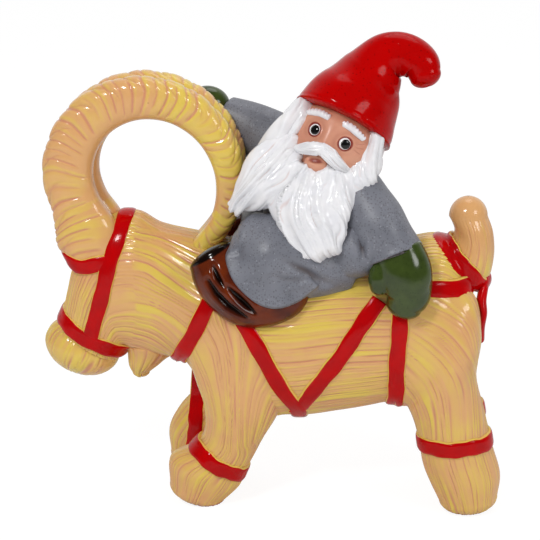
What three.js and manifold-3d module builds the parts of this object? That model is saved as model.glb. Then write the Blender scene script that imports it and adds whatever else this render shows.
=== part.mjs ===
// A glazed earthenware figurine: a bearded tomte in a tall cap rides a straw Yule goat.
// Millimetres, +Z up. The goat looks along -X, and the tomte's face looks along -Y.
import * as THREE from "three";
import { mergeVertices } from "three/addons/utils/BufferGeometryUtils.js";
import Module from "manifold-3d";

const wasm = await Module();
wasm.setup();

// Driving dimensions of the fit
const clearance = 0.3; // between pieces of clay that touch
const ribbonRise = 1.5; // a ribbon's outer face above the straw
const ribbonWidth = 6.8;
const vStrapWidth = 7;
const soleHeight = 0; // the four soles stand on one plane

// Driving dimensions of the goat
const barrelHalfWidth = 33;
const barrelMidHeight = 84;
const barrelBack = 39; // from the middle of the bundle up to the back
const barrelBelly = 41; // and down to the belly
const back = barrelMidHeight + barrelBack;
const belly = barrelMidHeight - barrelBelly;
const chestX = -40;
const girthX = 59;
const legSpread = 18; // from the goat's mid-plane to the middle of a leg
const farFrontLegLead = 4; // the right front leg sets out this much further forward
const headHalfWidth = 19;
const muzzleLength = 36;
const muzzleDepth = 26;

// The pair of curled horns. The curl's middle is this far above the middle of the barrel.
const curl = { x: -56.5, rise: 68.5, radius: 45.5, rootThickness: 23, tipThickness: 8 };
const curlStart = 206; // degrees, where the curl leaves its root on the brow
const curlEnd = -58; // over the top and down to the tip on the neck
const hornWidth = 15;
const wrapCount = 17; // straw windings along one horn
const wrapRise = 1.1;

// Driving dimensions of the rider
const headRadius = 19.5;
const headCentre = [29.5, -8, back + 48];
const headTilt = 24; // degrees, towards his left shoulder
const headTurn = -12; // degrees, towards his right hand
const brimRadius = 22.4;
const eyeRadius = 2.9;
const eyeSpacing = 14.2;
const legRadius = 11;
const sleeveRadius = 12;

const colours = {
  straw: { color: 0xd8a860, roughness: 0.22 },
  ribbon: { color: 0xb40c10, roughness: 0.15 },
  hat: { color: 0xb40606, roughness: 0.2 },
  coat: { color: 0x6c6e76, roughness: 0.55 },
  mitten: { color: 0x38481c, roughness: 0.25 },
  boot: { color: 0x541a0c, roughness: 0.15 },
  hair: { color: 0xeeeef0, roughness: 0.2 },
  skin: { color: 0xc68468, roughness: 0.45 },
  eyeWhite: { color: 0xf4f4f4, roughness: 0.15 },
  pupil: { color: 0x0c0c0c, roughness: 0.15 },
};

const radians = THREE.MathUtils.degToRad;
const part = new THREE.Group();

// Solids

function solidOf(geometry) {
  const bare = new THREE.BufferGeometry();
  bare.setAttribute("position", geometry.getAttribute("position"));
  bare.setIndex(geometry.getIndex());
  const merged = mergeVertices(bare, 1e-4);
  return new wasm.Manifold(new wasm.Mesh({
    numProp: 3,
    vertProperties: new Float32Array(merged.attributes.position.array),
    triVerts: new Uint32Array(merged.index.array),
  }));
}

function geometryOf(solid) {
  const { vertProperties, triVerts } = solid.getMesh();
  const geometry = new THREE.BufferGeometry();
  geometry.setAttribute("position", new THREE.BufferAttribute(vertProperties, 3));
  geometry.setIndex(new THREE.BufferAttribute(triVerts, 1));
  return geometry;
}

// The main body of a cut piece, without the crumbs that a cut leaves at a thin edge.
function mainBody(solid) {
  const bodies = solid.decompose();
  return bodies.reduce((a, b) => (a.volume() > b.volume() ? a : b));
}

function addPiece(name, solid, look) {
  const material = new THREE.MeshStandardMaterial({ ...colours[look], metalness: 0 });
  const mesh = new THREE.Mesh(geometryOf(mainBody(solid)), material);
  mesh.name = name;
  part.add(mesh);
}

const join = (solids) => solids.reduce((a, b) => a.add(b));

// A form is a function of how much the piece is grown. A piece is its form less its grown neighbours.
function fit(form, neighbours) {
  return neighbours.reduce((solid, other) => solid.subtract(other(clearance)), form(0));
}

// Rings of points joined into a closed skin, with a pole point past each end.
function skin(rings, startPole, endPole) {
  const sides = rings[0].length;
  const points = [...rings.flat(), startPole, endPole];
  const first = rings.length * sides;
  const faces = [];
  for (let i = 0; i < sides; i++) {
    const next = (i + 1) % sides;
    faces.push(first, next, i);
    const last = (rings.length - 1) * sides;
    faces.push(first + 1, last + i, last + next);
    for (let ring = 0; ring < rings.length - 1; ring++) {
      const a = ring * sides;
      const b = a + sides;
      faces.push(a + i, a + next, b + next, a + i, b + next, b + i);
    }
  }
  const geometry = new THREE.BufferGeometry();
  const corners = points.flatMap((point) => point.toArray());
  geometry.setAttribute("position", new THREE.Float32BufferAttribute(corners, 3));
  geometry.setIndex(faces);
  const solid = solidOf(geometry);
  if (solid.volume() > 0) return solid;
  for (let i = 0; i < faces.length; i += 3) faces.splice(i, 3, faces[i], faces[i + 2], faces[i + 1]);
  geometry.setIndex(faces);
  return solidOf(geometry);
}

const domeAngles = [50].map(radians);

// Ovals { centre, u, v, along } carried into a skin whose two ends are domes of the given lengths.
// A dome of no length is a flat end.
function loft(ovals, { sides = 14, power = 2, domes = [1, 1], grow = 0, relief = () => 0 }) {
  const ring = ({ centre, u, v, along }, scale, shift, t) => Array.from({ length: sides }, (_, i) => {
    const angle = (2 * Math.PI * i) / sides;
    const round = (w) => Math.sign(w) * Math.abs(w) ** (2 / power);
    const raise = grow + relief(t, angle);
    return centre.clone()
      .addScaledVector(u, (1 + raise / u.length()) * scale * round(Math.cos(angle)))
      .addScaledVector(v, (1 + raise / v.length()) * scale * round(Math.sin(angle)))
      .addScaledVector(along, shift);
  });
  const last = ovals.length - 1;
  const dome = (end, sign, length) => (length === 0 ? [] : domeAngles.map((angle) =>
    ring(ovals[end], Math.cos(angle), sign * (length + grow) * Math.sin(angle), end ? 1 : 0)));
  const rings = [
    ...dome(0, -1, domes[0]),
    ...ovals.map((oval, i) => ring(oval, 1, 0, i / last)),
    ...dome(last, 1, domes[1]).toReversed(),
  ];
  const pole = (end, sign, length) =>
    ovals[end].centre.clone().addScaledVector(ovals[end].along, sign * (length + (length && grow)));
  return skin(rings, pole(0, -1, domes[0]), pole(last, 1, domes[1]));
}

const smooth = (points) => new THREE.CatmullRomCurve3(points.map((p) => new THREE.Vector3(...p)));

// A bundle seen from the side. Each rung is [inner x, inner z, outer x, outer z, half width, middle y],
// with its heights above the base.
function bundle(rungs, { base = 0, spans = 2, side = 1, ...options }) {
  const inner = smooth(rungs.map(([x, z, , , , y = 0]) => [x, y * side, base + z]));
  const outer = smooth(rungs.map(([, , x, z, , y = 0]) => [x, y * side, base + z]));
  const widths = smooth(rungs.map((rung, i) => [rung[4], 0, i]));
  const count = (rungs.length - 1) * spans;
  const ovals = Array.from({ length: count + 1 }, (_, i) => {
    const t = i / count;
    const a = inner.getPoint(t);
    const b = outer.getPoint(t);
    const u = b.clone().sub(a).multiplyScalar(0.5);
    const v = new THREE.Vector3(0, widths.getPoint(t).x, 0);
    return { centre: a.add(b).multiplyScalar(0.5), u, v, along: u.clone().cross(v).normalize() };
  });
  const travel = ovals[1].centre.clone().sub(ovals[0].centre);
  if (travel.dot(ovals[0].along) < 0) ovals.forEach(({ along }) => along.negate());
  return loft(ovals, options);
}

// A limb along a path. Each stop is [x, y, height above the base, radius across, radius in depth].
function limb(stops, { base = 0, ...options }) {
  const path = smooth(stops.map(([x, y, z]) => [x, y, base + z]));
  const radii = smooth(stops.map(([, , , wide, deep = wide], i) => [wide, deep, i * 10]));
  const count = stops.length - 1;
  const ovals = Array.from({ length: count + 1 }, (_, i) => {
    const t = i / count;
    const along = path.getTangent(t);
    const u = new THREE.Vector3(0, 1, 0);
    u.addScaledVector(along, -u.dot(along)).normalize();
    const v = along.clone().cross(u);
    const { x: wide, y: deep } = radii.getPoint(t);
    return { centre: path.getPoint(t), u: u.multiplyScalar(wide), v: v.multiplyScalar(deep), along };
  });
  return loft(ovals, options);
}

function ellipsoid([x, y, z], [a, b, c], { turn = 0, grow = 0, detail = 14 } = {}) {
  const geometry = new THREE.SphereGeometry(1, detail, Math.round(detail * 0.6));
  geometry.scale(a + grow, b + grow, c + grow).rotateY(radians(turn)).translate(x, y, z);
  return solidOf(geometry);
}

// A slab of the given thickness across a line of the side view, from one point of it to another.
function slab([x1, z1], [x2, z2], thickness, { y = [-100, 100] } = {}) {
  const length = Math.hypot(x2 - x1, z2 - z1);
  const geometry = new THREE.BoxGeometry(length, y[1] - y[0], thickness);
  geometry.rotateY(-Math.atan2(z2 - z1, x2 - x1));
  geometry.translate((x1 + x2) / 2, (y[0] + y[1]) / 2, (z1 + z2) / 2);
  return solidOf(geometry);
}

// A raised ribbon: the skin of the straw inside a zone, less what lies over it.
function ribbon(carriers, zone, { over = [], rise = ribbonRise } = {}) {
  const band = join(carriers.map((form) => form(rise))).intersect(zone);
  return [...carriers, ...over].reduce((solid, form) => solid.subtract(form(clearance)), band);
}

// The goat's forms

const barrel = (grow) => bundle([
  [chestX - 2, belly + 25, chestX + 2, back - 7, barrelHalfWidth * 0.68],
  [chestX + 17, belly + 6, chestX + 19, back - 4, barrelHalfWidth * 0.9],
  [8, belly - 3, 8, back - 2, barrelHalfWidth],
  [34, belly, 34, back, barrelHalfWidth],
  [girthX, belly + 6, girthX + 1, back + 1, barrelHalfWidth * 0.94],
  [74, belly + 14, 78, back + 3, barrelHalfWidth * 0.84],
  [84, belly + 26, 90, back - 9, barrelHalfWidth * 0.6],
], { sides: 20, power: 2.2, domes: [4, 5], grow });

const thigh = (lead) => [
  [-30 - lead, barrelMidHeight + 8, 10 - lead, barrelMidHeight + 6, 13, legSpread - 3],
  [-36 - lead, barrelMidHeight - 7, 12 - lead, barrelMidHeight - 20, 15, legSpread - 1],
  [-33 - lead, belly + 19, 6 - lead, belly + 4, 15, legSpread],
];

// The left front leg stands. The right one steps out, with its hoof set forward.
const frontLegLeft = (grow) => bundle([
  ...thigh(0),
  [-29, 49, -1.5, 33, 14, legSpread],
  [-29, 36, -7, 22, 13, legSpread],
  [-35, 28, -10, 17, 13, legSpread],
  [-45, 22, -12.5, 9, 13.5, legSpread],
  [-45.5, 9, -20, 1, 11.5, legSpread],
], { side: -1, spans: 1, domes: [0, 6], grow }).subtract(underTheSoles(grow));

const frontLegRight = (grow) => bundle([
  ...thigh(farFrontLegLead),
  [-34.5, 51, -5.5, 33, 14, legSpread],
  [-37.5, 42, -12, 21, 13.5, legSpread],
  [-45, 33, -17, 10, 13.5, legSpread],
  [-50.5, 22, -24, 3, 12.5, legSpread],
  [-50, 10, -30, -2, 11, legSpread],
], { side: 1, spans: 1, domes: [0, 4], grow }).subtract(underTheSoles(grow));

const hindLeg = (side, lead) => (grow) => bundle([
  [63.5 - lead, belly + 7, 70 - lead, back - 16, 14, legSpread - 2],
  [64 - lead, belly + 8, 90 - lead, back - 17, 15, legSpread - 1],
  [65 - lead, belly + 6, 96.5 - lead, barrelMidHeight + 2, 15.5, legSpread],
  [67.5 - lead, belly, 95 - lead, belly + 23, 14.5, legSpread],
  [70 - lead, 34, 99 - lead, 50, 13.5, legSpread],
  [72 - lead, 23, 103 - lead, 34, 13.5, legSpread],
  [75 - lead, 15, 107.5 - lead, 19, 13.5, legSpread],
  [80 - lead, 4.5, 106.8 - lead, 7.5, 12, legSpread],
], { side, spans: 1, domes: [0, 7.5], grow }).subtract(underTheSoles(grow));

// Everything below the plane of the soles
function underTheSoles(grow) {
  const depth = 40;
  const geometry = new THREE.BoxGeometry(400, 200, depth);
  geometry.translate(0, 0, soleHeight - grow - depth / 2);
  return solidOf(geometry);
}

const head = (grow) => bundle([
  [chestX - 1, -17, chestX + 1, 35, headHalfWidth + 3],
  [-53, -17.5, -50, 42, headHalfWidth + 2.5],
  [-61, -16, -63, 51, headHalfWidth + 1],
  [-66, -14, -81, 44, headHalfWidth],
  [-67.5, -14, -90, 28, headHalfWidth],
  [-68.5, -14.5, -94, 14, headHalfWidth - 1],
  [-69.5, -16, -96.5, 4, headHalfWidth - 2],
  [-71, -20, -99, -2, headHalfWidth - 2.5],
], { base: barrelMidHeight, sides: 18, spans: 1, power: 2.2, domes: [0, 1], grow });

const muzzle = (grow) => {
  const radii = [muzzleLength / 2, headHalfWidth - 2, muzzleDepth / 2];
  return ellipsoid([-88.5, 0, barrelMidHeight - 15], radii, { turn: 22, grow });
};

const goatBeard = (grow) => bundle([
  [-66, -8, -46, -8, 11],
  [-66.5, -16, -47, -15, 10],
  [-66.5, -23, -52, -22, 7],
  [-65, -27.5, -57.5, -27.5, 4],
], { base: barrelMidHeight, sides: 12, spans: 1, domes: [1, 2.5], grow });

const tail = (grow) => bundle([
  [84, -11, 92, -23, 12],
  [80.5, 1, 99, -18, 12.5],
  [81.5, 9, 101.5, -7, 11.5],
  [80.5, 14, 98.5, 6, 9.5],
  [80.5, 16.5, 95.5, 15, 7.5],
  [81.5, 18.5, 89.5, 20.5, 4.5],
], { base: back, sides: 12, spans: 1, domes: [0, 2.5], grow });

// The curled horns. The pair meets on the goat's mid-plane, full inside the curl and with a valley outside.

function hornRungs() {
  const middle = (half) => half + clearance / 2;
  const turns = 9;
  const roundTheCurl = Array.from({ length: turns + 1 }, (_, i) => {
    const t = i / turns;
    const angle = radians(curlStart + (curlEnd - curlStart) * t);
    const inner = curl.radius - THREE.MathUtils.lerp(curl.rootThickness, curl.tipThickness, t ** 1.6);
    const half = (hornWidth / 2) * THREE.MathUtils.lerp(1, 0.8, t ** 2);
    const onCurl = (radius) => [curl.x + radius * Math.cos(angle), curl.rise + radius * Math.sin(angle)];
    return [...onCurl(inner), ...onCurl(curl.radius), half, middle(half)];
  });
  const root = hornWidth * 0.56;
  return [
    [-66, 32, -86, 22, root, middle(root)],
    [-69.5, 47, -96, 37, root, middle(root)],
    ...roundTheCurl,
  ];
}

// Straw wound slantwise round the horn: each winding swells and drops behind the next. None on the seam.
const windings = (side) => (t, angle) => {
  const turn = t * wrapCount + 0.35 * Math.sin(angle) + 0.25 * Math.cos(2 * angle);
  const within = turn - Math.floor(turn);
  const outside = 0.5 + 0.5 * Math.cos(angle);
  const offSeam = Math.min(1, 1 + side * Math.sin(angle));
  return wrapRise * outside * offSeam * Math.sin(Math.PI * within ** 0.7);
};

const horn = (side) => (grow) => {
  const relief = windings(side);
  const shape = { base: barrelMidHeight, sides: 11, spans: 4, power: 2.5, domes: [0, 6] };
  return bundle(hornRungs(), { ...shape, side, grow, relief });
};

// The rider's forms

const torso = (grow) => limb([
  [27, 0, -11, 30, 30],
  [25, 0, 1, 28, 29],
  [22, -1, 17, 23, 25],
  [22, -3, 33, 19, 25],
  [26, -4, 42, 14, 17],
], { base: back, sides: 16, domes: [4, 0], grow });

const skirt = (side) => (grow) => limb([
  [34, 16, -6, 15, 14],
  [18, 22, -4, 16, 16],
  [2, 23, -2, 18, 19.5],
  [-9, 21, 1, 14, 17],
].map(([x, y, ...rest]) => [x, y * side, ...rest]), { base: back, domes: [4, 7], grow });

const coat = (grow) => join([torso(grow), skirt(-1)(grow), skirt(1)(grow)]);

const sleeveLeft = (grow) => limb([
  [32.5, -9, 31, sleeveRadius, sleeveRadius],
  [41, -16, 24, sleeveRadius, sleeveRadius * 1.05],
  [49, -23, 13, sleeveRadius, sleeveRadius * 1.1],
  [57.5, -28, 0, sleeveRadius, sleeveRadius * 1.05],
], { base: back, domes: [0, 0.6], grow });

const sleeveRight = (grow) => limb([
  [14, 5, 34, sleeveRadius * 1.1, sleeveRadius * 1.4],
  [3, 12, 40, sleeveRadius, sleeveRadius * 1.25],
  [-8, 18.5, 46.5, sleeveRadius * 0.9, sleeveRadius * 1.02],
  [-22, 23, 52, sleeveRadius * 0.75, sleeveRadius * 0.78],
], { base: back, domes: [0, 0.6], grow });

const mittenLeft = (grow) => {
  const palm = limb([
    [57.5, -29, 4, 9, 11.5],
    [61, -31, -5, 10, 12.3],
    [64.3, -31.5, -14, 9.5, 9.6],
    [63.6, -31.5, -19.5, 8, 7.6],
  ], { base: back, sides: 12, domes: [2, 6], grow });
  const thumb = limb([
    [52.5, -31, 0, 5],
    [50.5, -33, -8, 5.3, 5],
    [50.6, -33, -11.5, 4.6, 3.9],
  ], { base: back, sides: 10, domes: [2, 3.5], grow });
  return palm.add(thumb);
};

const mittenRight = (grow) => ellipsoid([-30.5, 21, back + 57], [10.5, 8, 9.3], { grow, detail: 12 });

const riderLeg = (side) => (grow) => limb([
  [17, 28, -15.5, legRadius * 0.6, legRadius * 0.8],
  [7, 29, -19, legRadius * 0.95, legRadius * 1.16],
  [-7, 29, -18.5, legRadius, legRadius * 1.29],
  [-18, 28, -10.5, legRadius, legRadius * 1.24],
  [-24, 25, -2, legRadius * 0.9, legRadius],
].map(([x, y, ...rest]) => [x, y * side, ...rest]), { base: back, domes: [3, 5], grow });

// The rider's head is built upright round its own centre, then turned and tilted.
const headPose = new THREE.Matrix4()
  .makeTranslation(...headCentre)
  .multiply(new THREE.Matrix4().makeRotationY(radians(headTilt)))
  .multiply(new THREE.Matrix4().makeRotationZ(radians(headTurn)));

const inHead = (x, y, z) => new THREE.Vector3(x, y, z).applyMatrix4(headPose).toArray();

// A ball of three radii in the head's own frame
function headBall([x, y, z], [a, b, c], grow, detail = 12) {
  const geometry = new THREE.SphereGeometry(1, detail, Math.round(detail * 0.7));
  geometry.scale(a + grow, b + grow, c + grow).translate(x, y, z).applyMatrix4(headPose);
  return solidOf(geometry);
}

// A point of the face, given across and up from its middle, and how far in front of the skin
function onFace(x, z, lift = 0) {
  const depth = Math.sqrt(headRadius ** 2 - x ** 2 - z ** 2);
  const scale = (headRadius + lift) / headRadius;
  return [x * scale, -depth * scale, z * scale];
}

const face = (grow) => headBall([0, 0, 0], [headRadius, headRadius, headRadius + 1.5], grow, 16);

// The cap sits back on the head, so its brim rises over the brow.
const hat = (grow) => limb([
  [32.5, -8, 55.5, brimRadius, brimRadius],
  [34.5, -3.4, 61.2, 21.3, 21.3],
  [39, -2, 68.5, 18.4, 18.4],
  [44.5, -1, 76.5, 14, 14],
  [51.5, -1, 84, 10.5, 10.5],
  [59.5, -1.5, 85, 9.5, 9.5],
  [66, -4, 82, 8.6, 8.6],
  [68.3, -6, 77, 7, 7],
], { base: back, sides: 18, domes: [0, 5], grow });

const hair = (grow) => {
  const mass = headBall([0, 5, -1], [headRadius + 2, headRadius - 1, headRadius + 4], grow, 12);
  const lock = (stops) => {
    const path = stops.map(([x, y, z, radius]) => [...inHead(x, y, z), radius, radius * 1.1]);
    return limb(path, { sides: 10, grow });
  };
  const right = lock([[-17.5, -8, 10, 3.5], [-18.5, -9.5, 2, 4.5], [-19, -11, -8, 6]]);
  const left = lock([
    [17.5, -6, 6, 5],
    [19.2, -7.5, -2, 6.6],
    [17.5, -9.5, -10, 7],
    [14.5, -11.5, -17, 5.6],
  ]);
  return join([mass, right, left]);
};

const beard = (grow) => {
  const main = limb([
    [19, -20, 39.5, 9, 23.5],
    [20.5, -23.5, 27, 10, 21.5],
    [22, -30, 16, 9.5, 16],
    [25.5, -34, 5.5, 7.5, 10],
  ], { base: back, sides: 14, domes: [2, 5], grow });
  const sweep = limb([
    [12, -16, 49, 7, 7],
    [3.5, -19.5, 38.5, 8.5, 12],
    [-3, -21, 29.5, 8, 11],
    [-12, -20, 22, 5, 4.5],
  ], { base: back, sides: 12, domes: [3, 2.5], grow });
  return main.add(sweep);
};

const moustache = (grow) => {
  const wing = (sign) => limb([
    [...inHead(...onFace(0, -2.5, 2)), 3, 3],
    [...inHead(...onFace(sign * 6.5, -4.5, 2)), 3.2, 3.6],
    [...inHead(...onFace(sign * 13, -8.5, 1.5)), 1.8, 1.8],
  ], { sides: 10, domes: [2, 1.5], grow });
  return wing(-1).add(wing(1));
};

const lowerLip = (grow) => headBall(onFace(0.5, -9.8, 1.6), [4.6, 2.6, 2.9], grow, 12);

const eye = (side) => (grow) =>
  headBall(onFace((side * eyeSpacing) / 2, 4.3), [eyeRadius, 1, eyeRadius], grow, 12);

const pupil = (side) => (grow) =>
  headBall(onFace((side * eyeSpacing) / 2 + 0.4, 4.3, 1), [1.9, 0.9, 1.9], grow, 10);

const eyebrow = (side) => (grow) => limb([
  [...inHead(...onFace(side * 4, 10.3, 1)), 1.1, 1.2],
  [...inHead(...onFace(side * 8.3, 10.9, 1)), 1.3, 1.5],
  [...inHead(...onFace(side * 12.3, 9.2, 1)), 1, 1.2],
], { sides: 8, grow });

// The goat's pieces

const frontLegs = [frontLegLeft, frontLegRight];
const hindLegs = [hindLeg(-1, 0), hindLeg(1, 1.5)];
const horns = [horn(-1), horn(1)];
const rider = [coat, sleeveLeft, sleeveRight, mittenLeft, mittenRight, riderLeg(-1), riderLeg(1), beard];

addPiece("goat_barrel", barrel(0), "straw");
addPiece("goat_head", fit(head, [barrel]), "straw");
addPiece("goat_muzzle", fit(muzzle, [head]), "straw");
addPiece("goat_beard", fit(goatBeard, [head, muzzle]), "straw");
addPiece("goat_tail", fit(tail, [barrel, ...hindLegs]), "straw");
addPiece("front_left_leg", fit(frontLegs[0], [barrel, head]), "straw");
addPiece("front_right_leg", fit(frontLegs[1], [barrel, head]), "straw");
addPiece("hind_left_leg", fit(hindLegs[0], [barrel]), "straw");
addPiece("hind_right_leg", fit(hindLegs[1], [barrel]), "straw");
addPiece("left_horn", fit(horns[0], [barrel, head]), "straw");
addPiece("right_horn", fit(horns[1], [barrel, head]), "straw");

// The red ribbons

const side = { left: -1, right: 1 };
const browLine = [[-100, barrelMidHeight + 26], [-70, barrelMidHeight + 31]];
const noseLine = [[-104, barrelMidHeight + 6], [-62, barrelMidHeight - 18.5]];
const cheekLine = [[-81, barrelMidHeight - 5], [-62.5, barrelMidHeight + 61]];
const neckLine = [[-46, belly + 16], [-8, back + 11]];
const vTip = [14.5, belly];
const vLines = [
  [[-11, barrelMidHeight + 12], [15, belly + 6]],
  [[13, belly + 4], [53, barrelMidHeight + 24]],
];
const sideStrapLine = [[62, back - 11.5], [96, back - 19]];
const crupperLine = [[72, back + 8], [98, back - 19]];

const horned = [head, ...horns];
const trunk = [barrel, ...frontLegs, ...hindLegs];

const noseZone = (grow) => slab(...noseLine, ribbonWidth + 2 * grow);
const cheekZone = (grow) => slab(...cheekLine, ribbonWidth + 2 * grow);
addPiece("nose_band", ribbon([head], noseZone(0), { over: [goatBeard, muzzle] }), "ribbon");
addPiece("headstall", ribbon([head], cheekZone(0), { over: [noseZone, ...horns] }), "ribbon");
addPiece("brow_band", ribbon(horned, slab(...browLine, ribbonWidth), { over: [cheekZone] }), "ribbon");
addPiece("neck_band", ribbon([barrel, head], slab(...neckLine, ribbonWidth),
  { over: [...rider, ...frontLegs, ...horns] }), "ribbon");

const vZone = (grow) => join([
  slab(...vLines[0], vStrapWidth + 2 * grow),
  slab(...vLines[1], vStrapWidth + 2 * grow),
  slab([vTip[0], vTip[1] - 7], [vTip[0], vTip[1] + 9], vStrapWidth + 2 * grow),
]);
addPiece("v_girth", ribbon([barrel, ...frontLegs], vZone(0), { over: rider }), "ribbon");

const hindGirthZone = (grow) =>
  slab([girthX - 1, belly - 7], [girthX + 1, back - 10], ribbonWidth + 2 * grow);
addPiece("hind_girth", ribbon([barrel], hindGirthZone(0), { over: [...rider, ...hindLegs, vZone] }),
  "ribbon");

const crupperZone = (grow) => slab(...crupperLine, ribbonWidth + 2 * grow);
addPiece("crupper", ribbon([barrel, ...hindLegs], crupperZone(0), { over: [tail] }), "ribbon");
for (const [name, sign] of Object.entries(side)) {
  const zone = slab(...sideStrapLine, ribbonWidth, { y: sign < 0 ? [-60, 0] : [0, 60] });
  const over = [...rider, hindGirthZone, crupperZone, tail];
  addPiece(name + "_side_strap", ribbon([barrel, ...hindLegs], zone, { over }), "ribbon");
}

// The knot behind the rump, with an end of ribbon hanging on either side
const knot = (grow) => ellipsoid([97.5, 0, back - 17], [3.6, 10, 5], { turn: 12, grow, detail: 12 });
const ribbonEnd = (stops) => (grow) => limb(stops, { base: back, sides: 8, domes: [0, 2], grow });
const upperEnd = ribbonEnd([
  [98, -8, -18, 3, 1.4],
  [97.5, -12, -26, 2.6, 1.5],
  [97, -14, -34, 3, 1.5],
  [96.5, -12, -41, 3.4, 1.5],
]);
const lowerEnd = ribbonEnd([
  [98, 4, -18, 3, 1.4],
  [97.5, 3, -28, 2.6, 1.5],
  [96, 4, -39, 3, 1.5],
  [95.5, 3, -48, 3.4, 1.5],
]);
addPiece("rump_knot", fit(knot, [...trunk, tail, crupperZone]), "ribbon");
addPiece("upper_ribbon_end", fit(upperEnd, [...trunk, knot]), "ribbon");
addPiece("lower_ribbon_end", fit(lowerEnd, [...trunk, knot]), "ribbon");

const ankles = {
  front_left: [frontLegs[0], [[-38, 33], [-2, 13]]],
  front_right: [frontLegs[1], [[-35, 50], [-38, 7]]],
  hind_left: [hindLegs[0], [[62, 33], [112, 37]]],
  hind_right: [hindLegs[1], [[60.5, 33], [110.5, 37]]],
};
for (const [name, [leg, line]] of Object.entries(ankles)) {
  const y = name.endsWith("left") ? [-60, 0] : [0, 60];
  addPiece(name + "_ankle_band", ribbon([leg], slab(...line, ribbonWidth, { y })), "ribbon");
}

// The rider's pieces

const goat = [barrel, head, ...frontLegs, ...hindLegs, ...horns];
addPiece("hat", hat(0), "hat");
addPiece("face", fit(face, [hat]), "skin");
addPiece("hair", fit(hair, [hat, face]), "hair");
addPiece("beard", fit(beard, [face, hat, hair, lowerLip, ...goat]), "hair");
const bust = [face, hair, beard];
addPiece("coat", fit(coat, [...goat, ...bust]), "coat");
addPiece("left_leg", fit(riderLeg(-1), [...goat, coat]), "boot");
addPiece("right_leg", fit(riderLeg(1), [...goat, coat]), "boot");
addPiece("left_sleeve", fit(sleeveLeft, [...goat, ...bust, coat]), "coat");
addPiece("right_sleeve", fit(sleeveRight, [...goat, ...bust, coat]), "coat");
addPiece("left_mitten", fit(mittenLeft, [...goat, coat, sleeveLeft]), "mitten");
addPiece("right_mitten", fit(mittenRight, [...goat, coat, sleeveRight]), "mitten");
addPiece("moustache", fit(moustache, [face, beard, hair]), "hair");
addPiece("lower_lip", fit(lowerLip, [face, moustache]), "skin");
for (const [name, sign] of [["right", -1], ["left", 1]]) {
  addPiece(name + "_eye", fit(eye(sign), [face]), "eyeWhite");
  addPiece(name + "_pupil", fit(pupil(sign), [eye(sign)]), "pupil");
  addPiece(name + "_eyebrow", fit(eyebrow(sign), [face, hat]), "hair");
}

// The origin lies on the standing plane, under the middle of the figurine's box.
const box = new THREE.Box3().setFromObject(part);
const middle = box.getCenter(new THREE.Vector3());
part.position.set(-middle.x, -middle.y, -box.min.z);

export default part;
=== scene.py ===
# A glazed earthenware tomte riding a straw Yule goat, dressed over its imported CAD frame.
# Tables are in millimetres, as in the part's source, and addSkin brings them to metres.
import math

import bmesh
import bpy
import numpy as np
from mathutils import Matrix, Vector
from mathutils.bvhtree import BVHTree
from mathutils.kdtree import KDTree


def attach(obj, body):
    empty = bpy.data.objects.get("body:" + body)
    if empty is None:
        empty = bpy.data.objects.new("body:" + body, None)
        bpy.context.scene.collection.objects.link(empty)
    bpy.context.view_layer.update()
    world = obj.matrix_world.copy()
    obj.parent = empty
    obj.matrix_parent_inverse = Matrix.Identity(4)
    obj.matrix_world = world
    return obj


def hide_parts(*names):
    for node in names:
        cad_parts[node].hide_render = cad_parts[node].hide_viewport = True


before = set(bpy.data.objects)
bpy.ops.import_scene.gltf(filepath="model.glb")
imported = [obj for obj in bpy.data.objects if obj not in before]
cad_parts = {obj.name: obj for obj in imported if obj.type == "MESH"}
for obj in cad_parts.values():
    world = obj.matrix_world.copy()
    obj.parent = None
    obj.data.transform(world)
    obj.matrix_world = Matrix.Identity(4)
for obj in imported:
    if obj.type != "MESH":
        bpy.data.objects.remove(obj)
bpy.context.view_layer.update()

mm = 0.001
originShift = np.array([-0.925, 0.041, 0.0])  # from the tables' origin to the middle of the CAD box
turnRound = 2 * math.pi
back, barrelMid = 123, 84  # heights of the goat's back and of its barrel's middle
weldReach = 2e-7  # metres
# Both layers also carry painted light: painted shade in depth, a painted top light and painted reflection in
# tone.
layerNames = ("depth", "tone")  # told to the glaze: share of a groove, and how yellow or painted


def ease(low, high, value):
    x = np.clip((value - low) / (high - low), 0, 1)
    return x * x * (3 - 2 * x)


def bell(value, width):
    return np.exp(-(value / width) ** 2)


def unit(vectors):
    return vectors / np.linalg.norm(vectors, axis=-1, keepdims=True)


# rows on a smooth curve through every row of a table, at even spacing along the path that pathOf gives
def evenly(table, spacing, pathOf):
    rows = np.array(table, float)
    rows = np.vstack([2 * rows[0] - rows[1], rows, 2 * rows[-1] - rows[-2]])
    fineSteps = 60
    t = np.linspace(0, len(table) - 1, fineSteps * len(table))
    i = np.minimum(t.astype(int), len(table) - 2)
    f = (t - i)[:, None]
    a, b, c, d = rows[i], rows[i + 1], rows[i + 2], rows[i + 3]
    fine = 0.5 * (2 * b + (c - a) * f + (2 * a - 5 * b + 4 * c - d) * f ** 2
                  + (3 * b - a - 3 * c + d) * f ** 3)
    path = pathOf(fine)
    run = np.concatenate([[0], np.cumsum(np.linalg.norm(np.diff(path, axis=0), axis=1))])
    stops = np.linspace(0, run[-1], max(4, int(run[-1] / spacing)))
    return np.stack([np.interp(stops, run, fine[:, k]) for k in range(fine.shape[1])], 1), stops


# the rings of points round a set of ovals; the last point of a ring is its first again
def ringsOf(ovals, sides, power=2.0):
    angle = np.linspace(0, turnRound, sides + 1)
    c, s = (np.sign(w) * np.abs(w) ** (2 / power) for w in (np.cos(angle), np.sin(angle)))
    c[-1], s[-1] = c[0], s[0]
    across = c[None, :, None] * ovals["u"][:, None] + s[None, :, None] * ovals["v"][:, None]
    return ovals["centre"][:, None] + across, ovals["run"][:, None], angle[None, :]


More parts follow.
